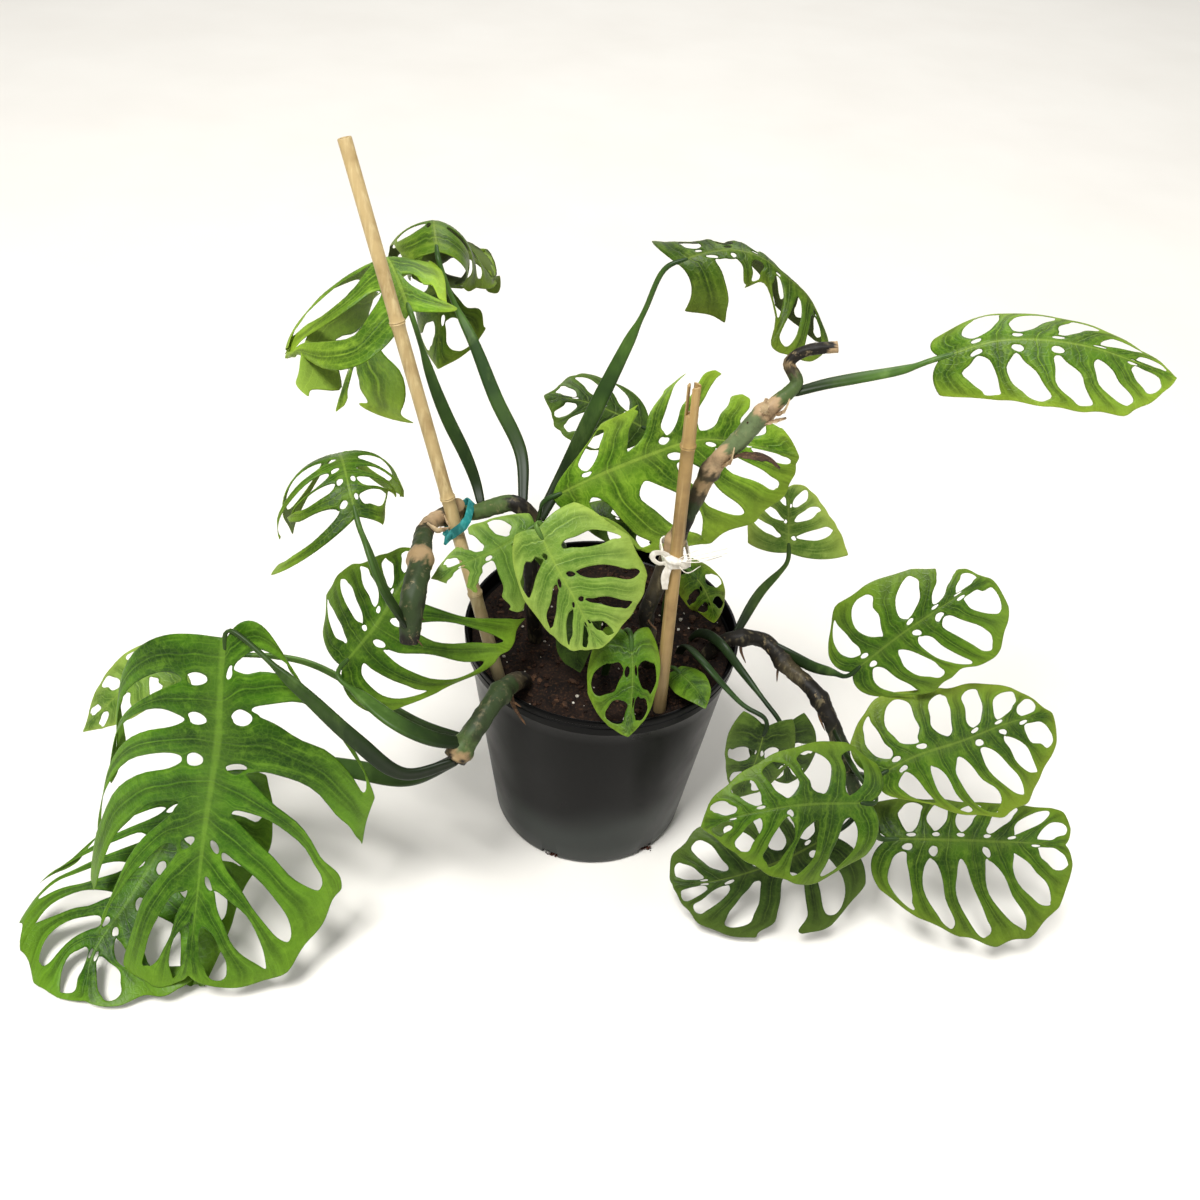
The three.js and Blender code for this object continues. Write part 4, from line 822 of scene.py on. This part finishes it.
# zones: where along the stem each colour lies
# roots: where each root stub grows, which way, how long and how thick
stems = dict(
    left_tall=dict(
        path=[(-60, -10, 195), (-64, -22, 265), (-68, -34, 338), (-68, -32, 380), (-83, -30, 394),
            (-114, -28, 381), (-136, -29, 376), (-149, -44, 380), (-153, -70, 387), (-150, -100, 394),
            (-147, -130, 397), (-148, -155, 386), (-150, -166, 352)],
        radii=[8, 7, 6.5, 7, 7, 7, 7.5, 7, 7, 8, 9, 10, 8], nodes=[0.42, 0.62, 0.83],
        zones=[(0, "dark"), (0.36, "dark"), (0.42, "bark"), (0.47, "dark"), (0.5, "green"),
            (0.59, "green"), (0.61, "dark"), (0.63, "bark"), (0.65, "paper"), (0.7, "paper"),
            (0.72, "bark"), (0.74, "deep"), (0.8, "deep"), (0.82, "tan"), (0.845, "tan"), (0.865, "deep"),
            (0.96, "deep"), (1, "dark")],
        roots=[(0.42, (0.3, -0.6, -0.9), 26, 1.6), (0.43, (-0.8, -0.5, -0.3), 14, 1.4),
            (0.44, (0.9, -0.4, -0.2), 16, 1.3), (0.93, (0.8, -0.2, -0.9), 16, 1.3),
            (0.96, (0.6, -0.5, -1), 22, 1.2), (0.9, (-0.8, -0.4, 0.2), 9, 1.3),
            (0.59, (-0.05, -0.5, 0.85), 19, 6.2)]),
    right_tall=dict(
        path=[(50, -22, 195), (44, -50, 262), (37, -68, 316), (42, -76, 352), (50, -76, 392),
            (63, -74, 440), (76, -73, 479), (92, -70, 501), (103, -66, 517), (117, -62, 532),
            (129, -56, 546), (122, -49, 558), (132, -46, 567), (156, -44, 572)],
        radii=[7, 7, 6.5, 6.5, 7, 7, 7, 7, 7, 7, 8, 5.5, 4.5, 4.5], nodes=[0.22, 0.5, 0.66, 0.8],
        zones=[(0, "dark"), (0.2, "bark"), (0.3, "dark"), (0.44, "bark"), (0.5, "paper"), (0.54, "dark"),
            (0.58, "deep"), (0.61, "bark"), (0.635, "tan"), (0.655, "bark"), (0.685, "paper"),
            (0.705, "paper"), (0.72, "grey"), (0.785, "grey"), (0.8, "paper"), (0.825, "paper"),
            (0.84, "green"), (0.88, "green"), (0.9, "bark"), (0.912, "tan"), (0.92, "dark"),
            (0.985, "dark"), (0.995, "paper")],
        roots=[(0.48, (0.8, -0.5, 0.3), 12, 1.6), (0.22, (-0.7, -0.6, -0.4), 15, 1.5),
            (0.77, (-0.4, -0.6, 0.7), 10, 1.6), (0.3, (0.6, -0.6, -0.6), 18, 1.3)]),
    right_low=dict(
        path=[(92, -15, 195), (104, -18, 235), (122, -24, 257), (151, -20, 254), (173, -40, 243),
            (198, -60, 233), (217, -80, 212), (240, -108, 169), (272, -122, 118)],
        radii=[7, 7, 7, 7.5, 7.5, 7.5, 7, 6, 5], nodes=[0.25, 0.4, 0.55, 0.7, 0.85],
        zones=[(0, "dark"), (0.35, "dark"), (0.45, "bark"), (0.52, "dark"), (0.85, "deep"), (1, "dark")],
        roots=[(0.25, (0.2, -0.7, -0.7), 24, 1.7), (0.4, (-0.2, -0.6, -0.8), 20, 1.5),
            (0.55, (0.3, -0.6, -0.9), 30, 1.6)]),
    left_low=dict(
        path=[(-64, -50, 195), (-70, -88, 243), (-84, -128, 262), (-100, -158, 250), (-115, -174, 229)],
        radii=[8, 8, 9, 9, 10], nodes=[0.6, 0.95],
        zones=[(0, "dark"), (0.35, "dark"), (0.45, "bark"), (0.52, "deep"), (0.8, "deep"), (0.92, "green"),
            (0.96, "tan"), (1, "dark")],
        roots=[(0.5, (0.5, -0.4, -1), 40, 2.2), (0.55, (0.8, -0.3, -0.8), 22, 1.6),
            (0.9, (0.2, -0.5, -1), 14, 1.4)]))
nodeLength, nodeSwell, nodeRidge = 5, 0.28, 0.05
# lumps of the bark: how fine along the stem, how fine round it, how high
stemLumps = [(0.16, 1.6, 0.09), (0.45, 3.4, 0.05)]
thickStub = 4
zoneSoft, zoneRagged = 0.28, 6


def zoneTone(zones, share):
    for (low, before), (high, after) in zip(zones, zones[1:]):
        if share <= high:
            soft = (high - low) * zoneSoft
            weight = float(ease(share, low + soft, high - soft))
            one, two = colour(stemTints[before]), colour(stemTints[after])
            return tuple(one[k] + (two[k] - one[k]) * weight for k in range(3))
    return colour(stemTints[zones[-1][1]])[:3]


def stemOf(build, path, stem, seed):
    def shapeAt(share, turns):
        apart = [(share - node) * path.length / nodeLength for node in stem["nodes"]]
        swell = nodeSwell * max(math.exp(-a * a) for a in apart)
        ridge = nodeRidge * max(math.exp(-((abs(a) - 1.5) / 0.35) ** 2) for a in apart)
        full = 0.98 + swell + ridge
        for fine, wide, high in stemLumps:
            full = full + high * bumps(turns, seed + share * path.length * fine, wide)
        full = along(stem["radii"], share) * full
        return ellipse(full, full, turns)

    def toneAt(share, turn):
        # the bands of colour end raggedly round the stem
        spot = Vector((seed + share * path.length * 0.11, math.cos(turn) * 1.9, math.sin(turn) * 1.9))
        ragged = noise.noise(spot) + 0.5 * noise.noise(spot * 2.7)
        return zoneTone(stem["zones"], min(max(share + ragged * zoneRagged / path.length, 0), 1))

    tube(build, path, int(path.length / 1.8), 32, shapeAt, 0, toneAt)


def rootOf(build, start, way, length, thick):
    way, stub = unit(np.array(way, float)), thick > thickStub
    bow = np.array([way[1], -way[0], 0.0]) * 0.18 * length
    root = Path([start, start + way * length * 0.45 + bow, start + way * length])
    tone = colour(stemTints["tan"])[:3]

    def shapeAt(share, turns):
        width = thick * (1.1 - 0.1 * share if stub else (1.3 - share) * (0.35 if share > 0.98 else 1))
        return ellipse(width, width, turns)

    tube(build, root, 10, 16 if stub else 8, shapeAt, 0 if stub else 1, lambda share, turn: tone)


for name, stem in stems.items():
    build, path, solid = Build(), Path(stem["path"]), "stem_" + name
    stemOf(build, path, stem, len(solid) * 3.7)
    for share, way, length, thick in stem["roots"]:
        rootOf(build, path.at(share)[0], way, length, thick)
    dress(build.make(solid + "_fine"), [stemBark, rootBrown], "stem", [solid])
print("stems made")


# A solid of revolution grown from a primitive: its top face is pushed from ring to ring
def growColumn(name, sides, rings):
    pick()
    (foot, radius), (head, after) = rings[:2]
    middle = (foot + head) / 2 * mm
    bpy.ops.mesh.primitive_cylinder_add(vertices=sides, radius=radius * mm, depth=(head - foot) * mm,
                                        location=(0, 0, middle))
    piece = bpy.context.object
    piece.name = piece.data.name = name
    settle(piece)
    bpy.ops.object.mode_set(mode="EDIT")
    bpy.ops.mesh.select_mode(type="FACE")
    bpy.ops.mesh.select_all(action="DESELECT")
    bpy.ops.object.mode_set(mode="OBJECT")
    for face in piece.data.polygons:
        face.select = face.normal.z > 0.9 and face.center.z > middle
    bpy.ops.object.mode_set(mode="EDIT")
    bpy.ops.transform.resize(value=(after / radius, after / radius, 1))
    for (low, before), (high, after) in zip(rings[1:], rings[2:]):
        bpy.ops.mesh.extrude_region_move(TRANSFORM_OT_translate=dict(value=(0, 0, (high - low) * mm)))
        if after != before:
            bpy.ops.transform.resize(value=(after / before, after / before, 1))
    bpy.ops.object.mode_set(mode="OBJECT")
    return piece


def cut(piece, cutters):
    for cutter in cutters:
        modifier = piece.modifiers.new("cut", "BOOLEAN")
        modifier.operation, modifier.solver, modifier.object = "DIFFERENCE", "EXACT", cutter
        applyModifiers(piece)
        bpy.data.objects.remove(cutter)


def block(sizes, place, turn):
    pick()
    bpy.ops.mesh.primitive_cube_add(size=1, location=[value * mm for value in place],
                                    rotation=(0, 0, turn))
    piece = bpy.context.object
    piece.scale = [value * mm for value in sizes]
    settle(piece)
    return piece


# Pot: blow-moulded nursery pot with a ribbed rim band and drain notches
pot = dict(height=240, rim=130, band=18, step=4, foot=97, footHeight=6, wall=2.4, floor=4,
           drains=6, drainSize=(14.4, 17, 18), drainTurn=10)


def potFinish():
    sheet = Sheet("potPlastic", Specular_IOR_Level=0.09)
    dust, paintedSheen = sheet.grain(22, 5, 0.6), sheet.grain(4, 2)
    scuffs = sheet.grain(120, 4, 0.6, (1, 1, 0.4))
    # painted highlights: the broad paler patches and the paler grey towards the foot stand for the floor's
    # reflection in the plastic; the dust specks and the brown scuffs at the foot are the pot's own dirt
    low = 1 - sheet.split("XYZ", sheet.places())[2].between(0.0, 0.12)
    ground = sheet.coats(colour("#020202"), (dust.between(0.45, 0.8) * 0.5, "#0a0b09"),
                         (paintedSheen.between(0.52, 0.72) * 0.5, "#171918"),
                         ((low + paintedSheen * 2.4 - 1.2).between(0.1, 0.9) * 0.75, "#383c39"),
                         (scuffs.between(0.66, 0.8) * low * 0.6, "#5e4a3c"))
    return sheet.finish(ground, scuffs, 0.12, 0.0004, dust * 0.3 + 0.18)


def makePot():
    top, rim, wall, foot = (pot[key] for key in ("height", "rim", "wall", "foot"))
    bandFoot, outer = top - pot["band"], rim - pot["step"]

    def wallAt(height):
        return foot + (outer - foot) * min(height / bandFoot, 1)

    # height and radius of each ring: foot, wall, rim band, then down the inside
    rings = [(0, foot - 3), (1.2, foot - 1.2), (3, foot - 0.3)]
    rings += [(height, wallAt(height))
              for height in (pot["footHeight"], 30, 60, 90, 120, 150, 180, 205, bandFoot - 1)]
    rings += [(bandFoot, outer + 0.4), (bandFoot + 0.8, rim - 2), (bandFoot + 1.8, rim - 1),
              (bandFoot + 8, rim - 0.9), (bandFoot + 8.6, rim - 0.3), (bandFoot + 9.8, rim - 0.3),
              (bandFoot + 10.4, rim - 0.9), (top - 5, rim - 0.8), (top - 4.2, rim - 0.1), (top - 1, rim),
              (top - 0.3, rim - 0.4), (top, rim - 1.1), (top, rim - wall), (top - 0.6, rim - wall - 0.8),
              (bandFoot + 2, rim - wall - 1.6), (bandFoot, outer - wall), (150, wallAt(150) - wall),
              (60, wallAt(60) - wall), (pot["floor"], wallAt(0) - wall)]
    piece = growColumn("pot_fine", 128, rings)
    turns = [math.radians(pot["drainTurn"] + drain * 360 / pot["drains"]) for drain in range(pot["drains"])]
    cut(piece, [block(pot["drainSize"], (foot * math.cos(turn), foot * math.sin(turn), 0), turn)
                for turn in turns])
    smooth(piece, 35)
    dress(piece, [potFinish()], "pot", ["pot"])


makePot()
print("pot made")


# Soil: a crumbly mound with bark, crumbs and perlite
soil = dict(floor=4.3, top=226, mound=3, foot=93.6, edge=122.9, rings=54)
soilReach, soilShift = 123.3, 0.5
# lumps of the soil: how fine, where in the noise, how high
soilLumps = [(0.06, 2.0, 2.2), (0.22, 5.0, 1)]
heapSpread = (4, 1.2, 1.2)
# finish: name, three colours, roughness, grain scale, bump strength and gloss
crumbs = dict(
    soil_crumbs=dict(count=620, sizes=(0.8, 3.4), flat=(0.5, 0.9), reach=119, seed=3,
                     finish=("crumbBrown", "#2c1c13", "#140d09", "#553a28", 0.95, 90, 0.6, 0.15)),
    soil_bark=dict(count=110, sizes=(2.2, 6.5), flat=(0.2, 0.45), reach=117, seed=5,
                   finish=("barkChip", "#3f2a1b", "#1f130c", "#664a30", 0.85, 120, 0.6, 0.2)),
    soil_perlite=dict(count=70, sizes=(0.7, 2.3), flat=(0.6, 0.95), reach=119, seed=7,
                      finish=("perliteWhite", "#b5b0a3", "#8e8778", "#dad6cb", 0.9, 150, 0.5, 0.25)),
    soil_spill=dict(count=34, sizes=(0.8, 2.2), flat=(0.5, 0.9), reach=119, seed=9,
                    finish=("spillRed", "#4a2418", "#23110b", "#7a4630", 0.95, 90),
                    heaps=[(-32.5, -89.5), (61.5, -72.8)]))


def soilHeight(x, y):
    # a ring-shaped mound that is highest at 0.6 of the way out
    share, mound = math.hypot(x, y) / soilReach, soil["mound"]
    plain = -mound + 2 * mound * share / 0.6 if share < 0.6 else mound - mound * (share - 0.6) / 0.4
    rough = sum(noise.noise(Vector((x * fine, y * fine, spot))) * high for fine, spot, high in soilLumps)
    return soil["top"] + plain + rough * min(1, (1 - share) * 12 + 0.25) - soilShift


def makeSoil():
    top, edge = soil["top"], soil["edge"]
    rings = [(soil["floor"], soil["foot"]), (120, 109), (top - 2, edge)]
    rings += [(top, edge * (1 - step / soil["rings"])) for step in range(1, soil["rings"])]
    piece = growColumn("soil_fine", 128, rings)
    for vertex in piece.data.vertices:
        if vertex.co.z > (top - 0.5) * mm:
            vertex.co.z = soilHeight(vertex.co.x / mm, vertex.co.y / mm) * mm
    smooth(piece, 60)
    dark = plainFinish("soilDark", "#1d130e", "#0e0907", "#45301f", 0.95, 60, 0.9, 0.15)
    dress(piece, [dark], "soil", ["soil"])


def crumble(name, look):
    # one rough 20-faced crumb, copied over the soil or into heaps on the floor
    pick()
    bpy.ops.mesh.primitive_ico_sphere_add(subdivisions=1, radius=1)
    crumb = bpy.context.object
    shape = np.array([vertex.co[:] for vertex in crumb.data.vertices])
    faces = [list(face.vertices) for face in crumb.data.polygons]
    bpy.data.objects.remove(crumb)
    dice = np.random.default_rng(look["seed"])
    (low, high), heaps, build = look["sizes"], look.get("heaps"), Build()
    for number in range(look["count"]):
        radius, turn = look["reach"] * math.sqrt(dice.uniform(0.01, 1)), dice.uniform(0, 2 * math.pi)
        x, y = radius * math.cos(turn), radius * math.sin(turn)
        size = low + (high - low) * dice.uniform(0, 1) ** 2
        stretch = np.array([1, dice.uniform(0.6, 1), dice.uniform(*look["flat"])]) * size
        turned = Matrix.Rotation(dice.uniform(0, 6.3), 3, "Z")
        turned = turned @ Matrix.Rotation(dice.normal(0, 0.35), 3, "X")
        lumps = shape * dice.uniform(0.72, 1.12, (len(shape), 1))
        places = (lumps * stretch) @ np.array(turned).T
        if heaps:
            offset = dice.normal(0, 1, 3) * heapSpread
            x, y = heaps[number % len(heaps)] + offset[:2]
            z = size + abs(offset[2])
        else:
            z = soilHeight(x, y) + stretch[2] * 0.5
        build.add(places + np.array([x, y, z]), faces)
    piece = build.make(name)
    smooth(piece, 40)
    dress(piece, [plainFinish(*look["finish"])], "soil")


makeSoil()
for name, look in crumbs.items():
    crumble(name, look)
print("soil made")


# Bamboo canes: hollow at the top, ringed at the nodes
canes = dict(
    stake_tall=dict(foot=(-81, -76, 196), top=(-213, 0, 680), nodes=[0.245, 0.43, 0.73], radius=5.8,
                    finish="cane_straw", tints=("#b49c6c", "#8a7044", "#d8c696", "#6c6652")),
    stake_short=dict(foot=(58, -93, 192), top=(51, -92, 557), nodes=[0.57, 0.86], radius=5.7, prongs=3,
                     finish="cane_tan", tints=("#a1834f", "#6e5430", "#c2a873", "#5f543c")))
caneBore, caneHollow = 3.2, 25
prongSize, prongReach = (3.4, 11.6, 48), 5.8
# rings of a node: how far from its middle, how much wider
nodeRings = [(-7, 0), (-2.6, 0.35), (-1, 1), (0, 0.45), (0.7, 1.05), (2.2, 0.2), (8, -0.1)]


def caneFinish(name, base, dark, light, lowerTint):
    sheet = Sheet(name, Specular_IOR_Level=0.4)
    fibres, stains = sheet.grain(260, 4, 0.6, (1, 1, 0.05)), sheet.grain(26, 4, 0.6)
    height = sheet.split("XYZ", sheet.places())[2]
    # darker and greyer from the foot up, fading out between 0.24 and 0.42 m
    lowerBand = 1 - (height + stains * 0.08).between(0.24, 0.42)
    ground = sheet.coats(colour(base), (stains.between(0.42, 0.7) * 0.7, dark),
                         (fibres.between(0.45, 0.75) * 0.55, light), (lowerBand * 0.75, lowerTint))
    return sheet.finish(ground, fibres, 0.3, 0.0004, stains * 0.2 + 0.38)


for name, cane in canes.items():
    foot, top = Vector(cane["foot"]), Vector(cane["top"])
    length, radius, prongs = (top - foot).length, cane["radius"], cane.get("prongs", 0)
    rings = [(0, radius)]
    for node in cane["nodes"]:
        rings += [(node * length + away, radius - 0.5 * node + wider) for away, wider in nodeRings]
    rings += [(length - 0.6, radius - 0.5), (length, radius - 0.9), (length, caneBore + 0.3),
              (length - 0.7, caneBore), (length - caneHollow, caneBore)]
    piece = growColumn(name + "_fine", 32, rings)
    turns = [prong * 2 * math.pi / prongs for prong in range(prongs)]
    cut(piece, [block(prongSize, (-prongReach * math.sin(turn), prongReach * math.cos(turn), length), turn)
                for turn in turns])
    settle(piece, Matrix.Translation(foot * mm) @ (top - foot).to_track_quat("Z", "Y").to_matrix().to_4x4())
    smooth(piece, 40)
    dress(piece, [caneFinish(name + "Bamboo", *cane["tints"])], cane["finish"], [name])
print("canes made")


# Ties: a flat strap round stem and cane, with its loose tail
# ends of the white tie: points, then half its thickness and half its width
whiteEnds = [
    ([(45, -98, 404), (51, -100, 402), (57, -99, 400)], 3.6, 3.8),
    ([(51, -99, 402), (44, -100.5, 409), (36, -99, 407), (35, -98, 401), (41, -99, 397), (51, -99, 401)],
     0.5, 2.6),
    ([(51, -99, 401), (47, -101, 388), (48, -99, 371)], 0.45, 3.4),
]
whiteEnds += [([(53, -99, 401), ((53 + x) / 2, -103, z - 5), (x, -99, z)], 0.42, 0.42)
              for x, z in ((93, 418), (90, 410), (83, 421), (95, 414), (74, 398))]
ties = dict(
    tie_teal=dict(middle=(-129.5, -38, 379), along=(0, 1, 0), face=(-0.7, 0, 0.7), inside=(34, 25), width=8,
                  tail=9, tailTurn=-20, knot=4.2, finish=("tieTeal", "#1f7f7c", "#0e4f4f", "#58b3ae")),
    tie_white=dict(middle=(53.5, -83.6, 398), along=(-0.15, 1, 0), face=(0, 0, 1), inside=(32, 20), width=7,
                   ends=whiteEnds, finish=("tieWhite", "#dcd6c9", "#b3ab9b", "#f7f4ee")))
tieWall, tieCorner, tailWall = 1.3, 5, 0.8


def tieFinish(name, base, dark, light):
    sheet = Sheet(name, Roughness=0.6, Specular_IOR_Level=0.3)
    weave, folds = sheet.grain(300, 3, 0.5, (1, 1, 0.4)), sheet.grain(60, 3)
    ground = sheet.coats(colour(base), (folds.between(0.4, 0.7) * 0.7, dark),
                         (weave.between(0.45, 0.75) * 0.5, light))
    return sheet.finish(ground, weave * 0.5 + folds * 0.5, 0.5, 0.0006)


def ribbon(build, sections, thickness, closed):
    # a flat band: at each place, with its way out, width and way of width, a four-cornered section
    places, faces, count = [], [], len(sections)
    for centre, outward, width, way in sections:
        for across, through in ((-1, -1), (1, -1), (1, 1), (-1, 1)):
            places.append(centre + way * width / 2 * across + outward * thickness / 2 * through)
    for step in range(count if closed else count - 1):
        after = (step + 1) % count
        for k in range(4):
            faces.append([step * 4 + k, step * 4 + (k + 1) % 4, after * 4 + (k + 1) % 4, after * 4 + k])
    if not closed:
        faces += [[3, 2, 1, 0], [count * 4 - 4, count * 4 - 3, count * 4 - 2, count * 4 - 1]]
    build.add(places, faces)


def knotShape(size, share, turns):
    broad = size * math.sqrt(max(0.02, 1 - (share * 2 - 1) ** 2))
    fold = 1 + 0.12 * np.sin(turns * 3 + share * 9)
    return broad * fold * np.cos(turns), broad * 0.75 * fold * np.sin(turns)


def endShape(across, through, share, turns):
    taper = 0.35 + 0.65 * math.sin(math.pi * min(max(share, 0.04), 0.9)) ** 0.5
    return ellipse(across * taper, through * taper, turns)


def tailOf(build, tie, start, acrossWay, face, alongWay):
    # the tail curls away from the strap's corner, with a knot at its start
    turn, size = math.radians(tie["tailTurn"]), tie["knot"]
    way = acrossWay * math.cos(turn) + face * math.sin(turn)
    widthWay = face * math.cos(turn) - acrossWay * math.sin(turn)
    ribbon(build, [(start + way * tie["tail"] * s - alongWay * 2.2 * s * s, alongWay,
                    tie["width"] * (1 - 0.72 * s), widthWay) for s in np.linspace(0, 1, 7)], tailWall, False)
    tube(build, Path([start - way * size, start, start + way * size]), 10, 14,
         lambda share, turns: knotShape(size * 0.8, share, turns))


def makeTie(name, tie):
    alongWay, face = unit(np.array(tie["along"], float)), unit(np.array(tie["face"], float))
    acrossWay, middle = np.cross(face, alongWay), np.array(tie["middle"], float)
    halfLength, halfWidth = (size / 2 + tieWall / 2 for size in tie["inside"])
    corner = tieCorner + tieWall / 2
    sections = []
    for quarter, (sideX, sideY) in enumerate(((1, 1), (-1, 1), (-1, -1), (1, -1))):
        heart = alongWay * sideX * (halfLength - corner) + acrossWay * sideY * (halfWidth - corner)
        for step in range(8):
            turn = math.radians(quarter * 90 + step * 90 / 7)
            outward = alongWay * math.cos(turn) + acrossWay * math.sin(turn)
            sway = 0.4 * math.sin(turn * 3 + quarter)
            sections.append((middle + heart + outward * corner + face * sway, outward,
                             tie["width"] * (0.94 + 0.08 * math.sin(turn * 2 + 1)), face))
    build = Build()
    ribbon(build, sections, tieWall, True)
    if "tail" in tie:
        start = middle - alongWay * (halfLength + 0.2) + acrossWay * (halfWidth - corner)
        tailOf(build, tie, start, acrossWay, face, alongWay)
    for points, across, through in tie.get("ends", []):
        tube(build, Path(points), 16, 12, lambda share, turns: endShape(across, through, share, turns))
    piece = build.make(name + "_fine")
    bevel = piece.modifiers.new("soft edge", "BEVEL")
    bevel.width, bevel.segments, bevel.limit_method = 0.25 * mm, 2, "ANGLE"
    applyModifiers(piece)
    smooth(piece, 40)
    dress(piece, [tieFinish(*tie["finish"])], name, [name])


for name, tie in ties.items():
    makeTie(name, tie)
print("ties made")


# Dry papery scraps that cling to the stems
scraps = dict(
    sheath_dry=dict(points=[(84, -76, 488), (98, -80, 495), (107, -80, 495), (117, -80, 492),
                            (125, -80, 485)], width=4.6, finish=dryBrown),
    sheath_tip_left=dict(points=[(-258, -133, 168), (-280, -131, 171), (-300, -127, 166)], width=5,
                         finish=dryBrown),
    paper_right_high=dict(points=[(111, -70, 524), (107, -75, 531), (106, -74, 541)], width=3.4),
    paper_right_side=dict(points=[(115, -68, 524), (121, -71, 530), (124, -70, 540)], width=2.8),
    paper_right_fold=dict(points=[(108, -72, 518), (116, -74, 523), (124, -69, 523)], width=2.6),
    paper_right_low=dict(points=[(80, -77, 480), (86, -81, 488), (88, -79, 499)], width=3.2),
    paper_left_edge=dict(points=[(-151, -69, 395), (-142, -74, 392), (-133, -72, 394)], width=3),
    paper_left_end=dict(points=[(-140, -47, 388), (-135, -50, 379), (-138, -50, 368)], width=2.6))
scrapWall, scrapCup = 0.45, 0.25


def scrapShape(width, share, turns):
    broad = width * (0.25 + math.sin(math.pi * min(share * 0.9 + 0.05, 1)) * 0.75)
    torn = [noise.noise(Vector((share * 9, np.cos(turn), width))) for turn in turns]
    broad = broad * (1 + 0.5 * np.array(torn))
    return broad * np.cos(turns), scrapWall * np.sin(turns) + scrapCup * broad * np.cos(turns) ** 2


for name, scrap in scraps.items():
    build = Build()
    tube(build, Path(scrap["points"]), 24, 16,
         lambda share, turns: scrapShape(scrap["width"], share, turns))
    dress(build.make(name), [scrap.get("finish", dryPale)], "stem")
print("scraps made")


# Camera where the photograph was taken, pale floor and soft light
cameraLook = dict(place=(-4, -854, 994), down=40.3, roll=4.8, lens=36)
lights = dict(
    keyLight=dict(place=(-1.1, -2.0, 5.0), aim=(0, 0, 0.35), size=1.5, power=380),
    fillLight=dict(place=(3.6, -2.2, 3.2), aim=(0, 0, 0.3), size=2.8, power=55),
    backLight=dict(place=(0.6, 4.4, 4.2), aim=(0, 0.4, 0.3), size=3.2, power=120))
skyStrength = 0.3
floorSize, floorDrop = 14, 0.0004


def setCamera():
    camera = bpy.data.objects.new("photoCamera", bpy.data.cameras.new("photoCamera"))
    bpy.context.scene.collection.objects.link(camera)
    camera.data.sensor_width = camera.data.lens = cameraLook["lens"]
    camera.data.clip_start = 0.05
    tilt = Matrix.Rotation(math.radians(90 - cameraLook["down"]), 4, "X")
    roll = Matrix.Rotation(math.radians(cameraLook["roll"]), 4, "Z")
    camera.matrix_world = Matrix.Translation(Vector(cameraLook["place"]) * mm) @ tilt @ roll
    bpy.context.scene.camera = camera


def setLights():
    for name, look in lights.items():
        data = bpy.data.lights.new(name, "AREA")
        data.shape, data.size, data.energy = "SQUARE", look["size"], look["power"]
        lamp = bpy.data.objects.new(name, data)
        bpy.context.scene.collection.objects.link(lamp)
        lamp.location = look["place"]
        lamp.rotation_euler = (Vector(look["aim"]) - lamp.location).to_track_quat("-Z", "Y").to_euler()
    world = bpy.context.scene.world or bpy.data.worlds.new("softRoom")
    bpy.context.scene.world = world
    world.use_nodes = True
    background = world.node_tree.nodes["Background"]
    background.inputs["Color"].default_value = (1, 1, 1, 1)
    background.inputs["Strength"].default_value = skyStrength
    bpy.context.scene.view_settings.view_transform = "Standard"


def setFloor():
    pick()
    bpy.ops.mesh.primitive_plane_add(size=floorSize, location=(0, 0, -floorDrop))
    floor = bpy.context.object
    floor.name = "floor"
    sheet = Sheet("floorPale", Roughness=0.7, Specular_IOR_Level=0.2)
    speckle = sheet.grain(3, 3)
    floor.data.materials.append(sheet.finish(sheet.coats(colour("#dcd8d0"), (speckle, "#e6e3dc"))))


setCamera()
setLights()
setFloor()
print("stage set")
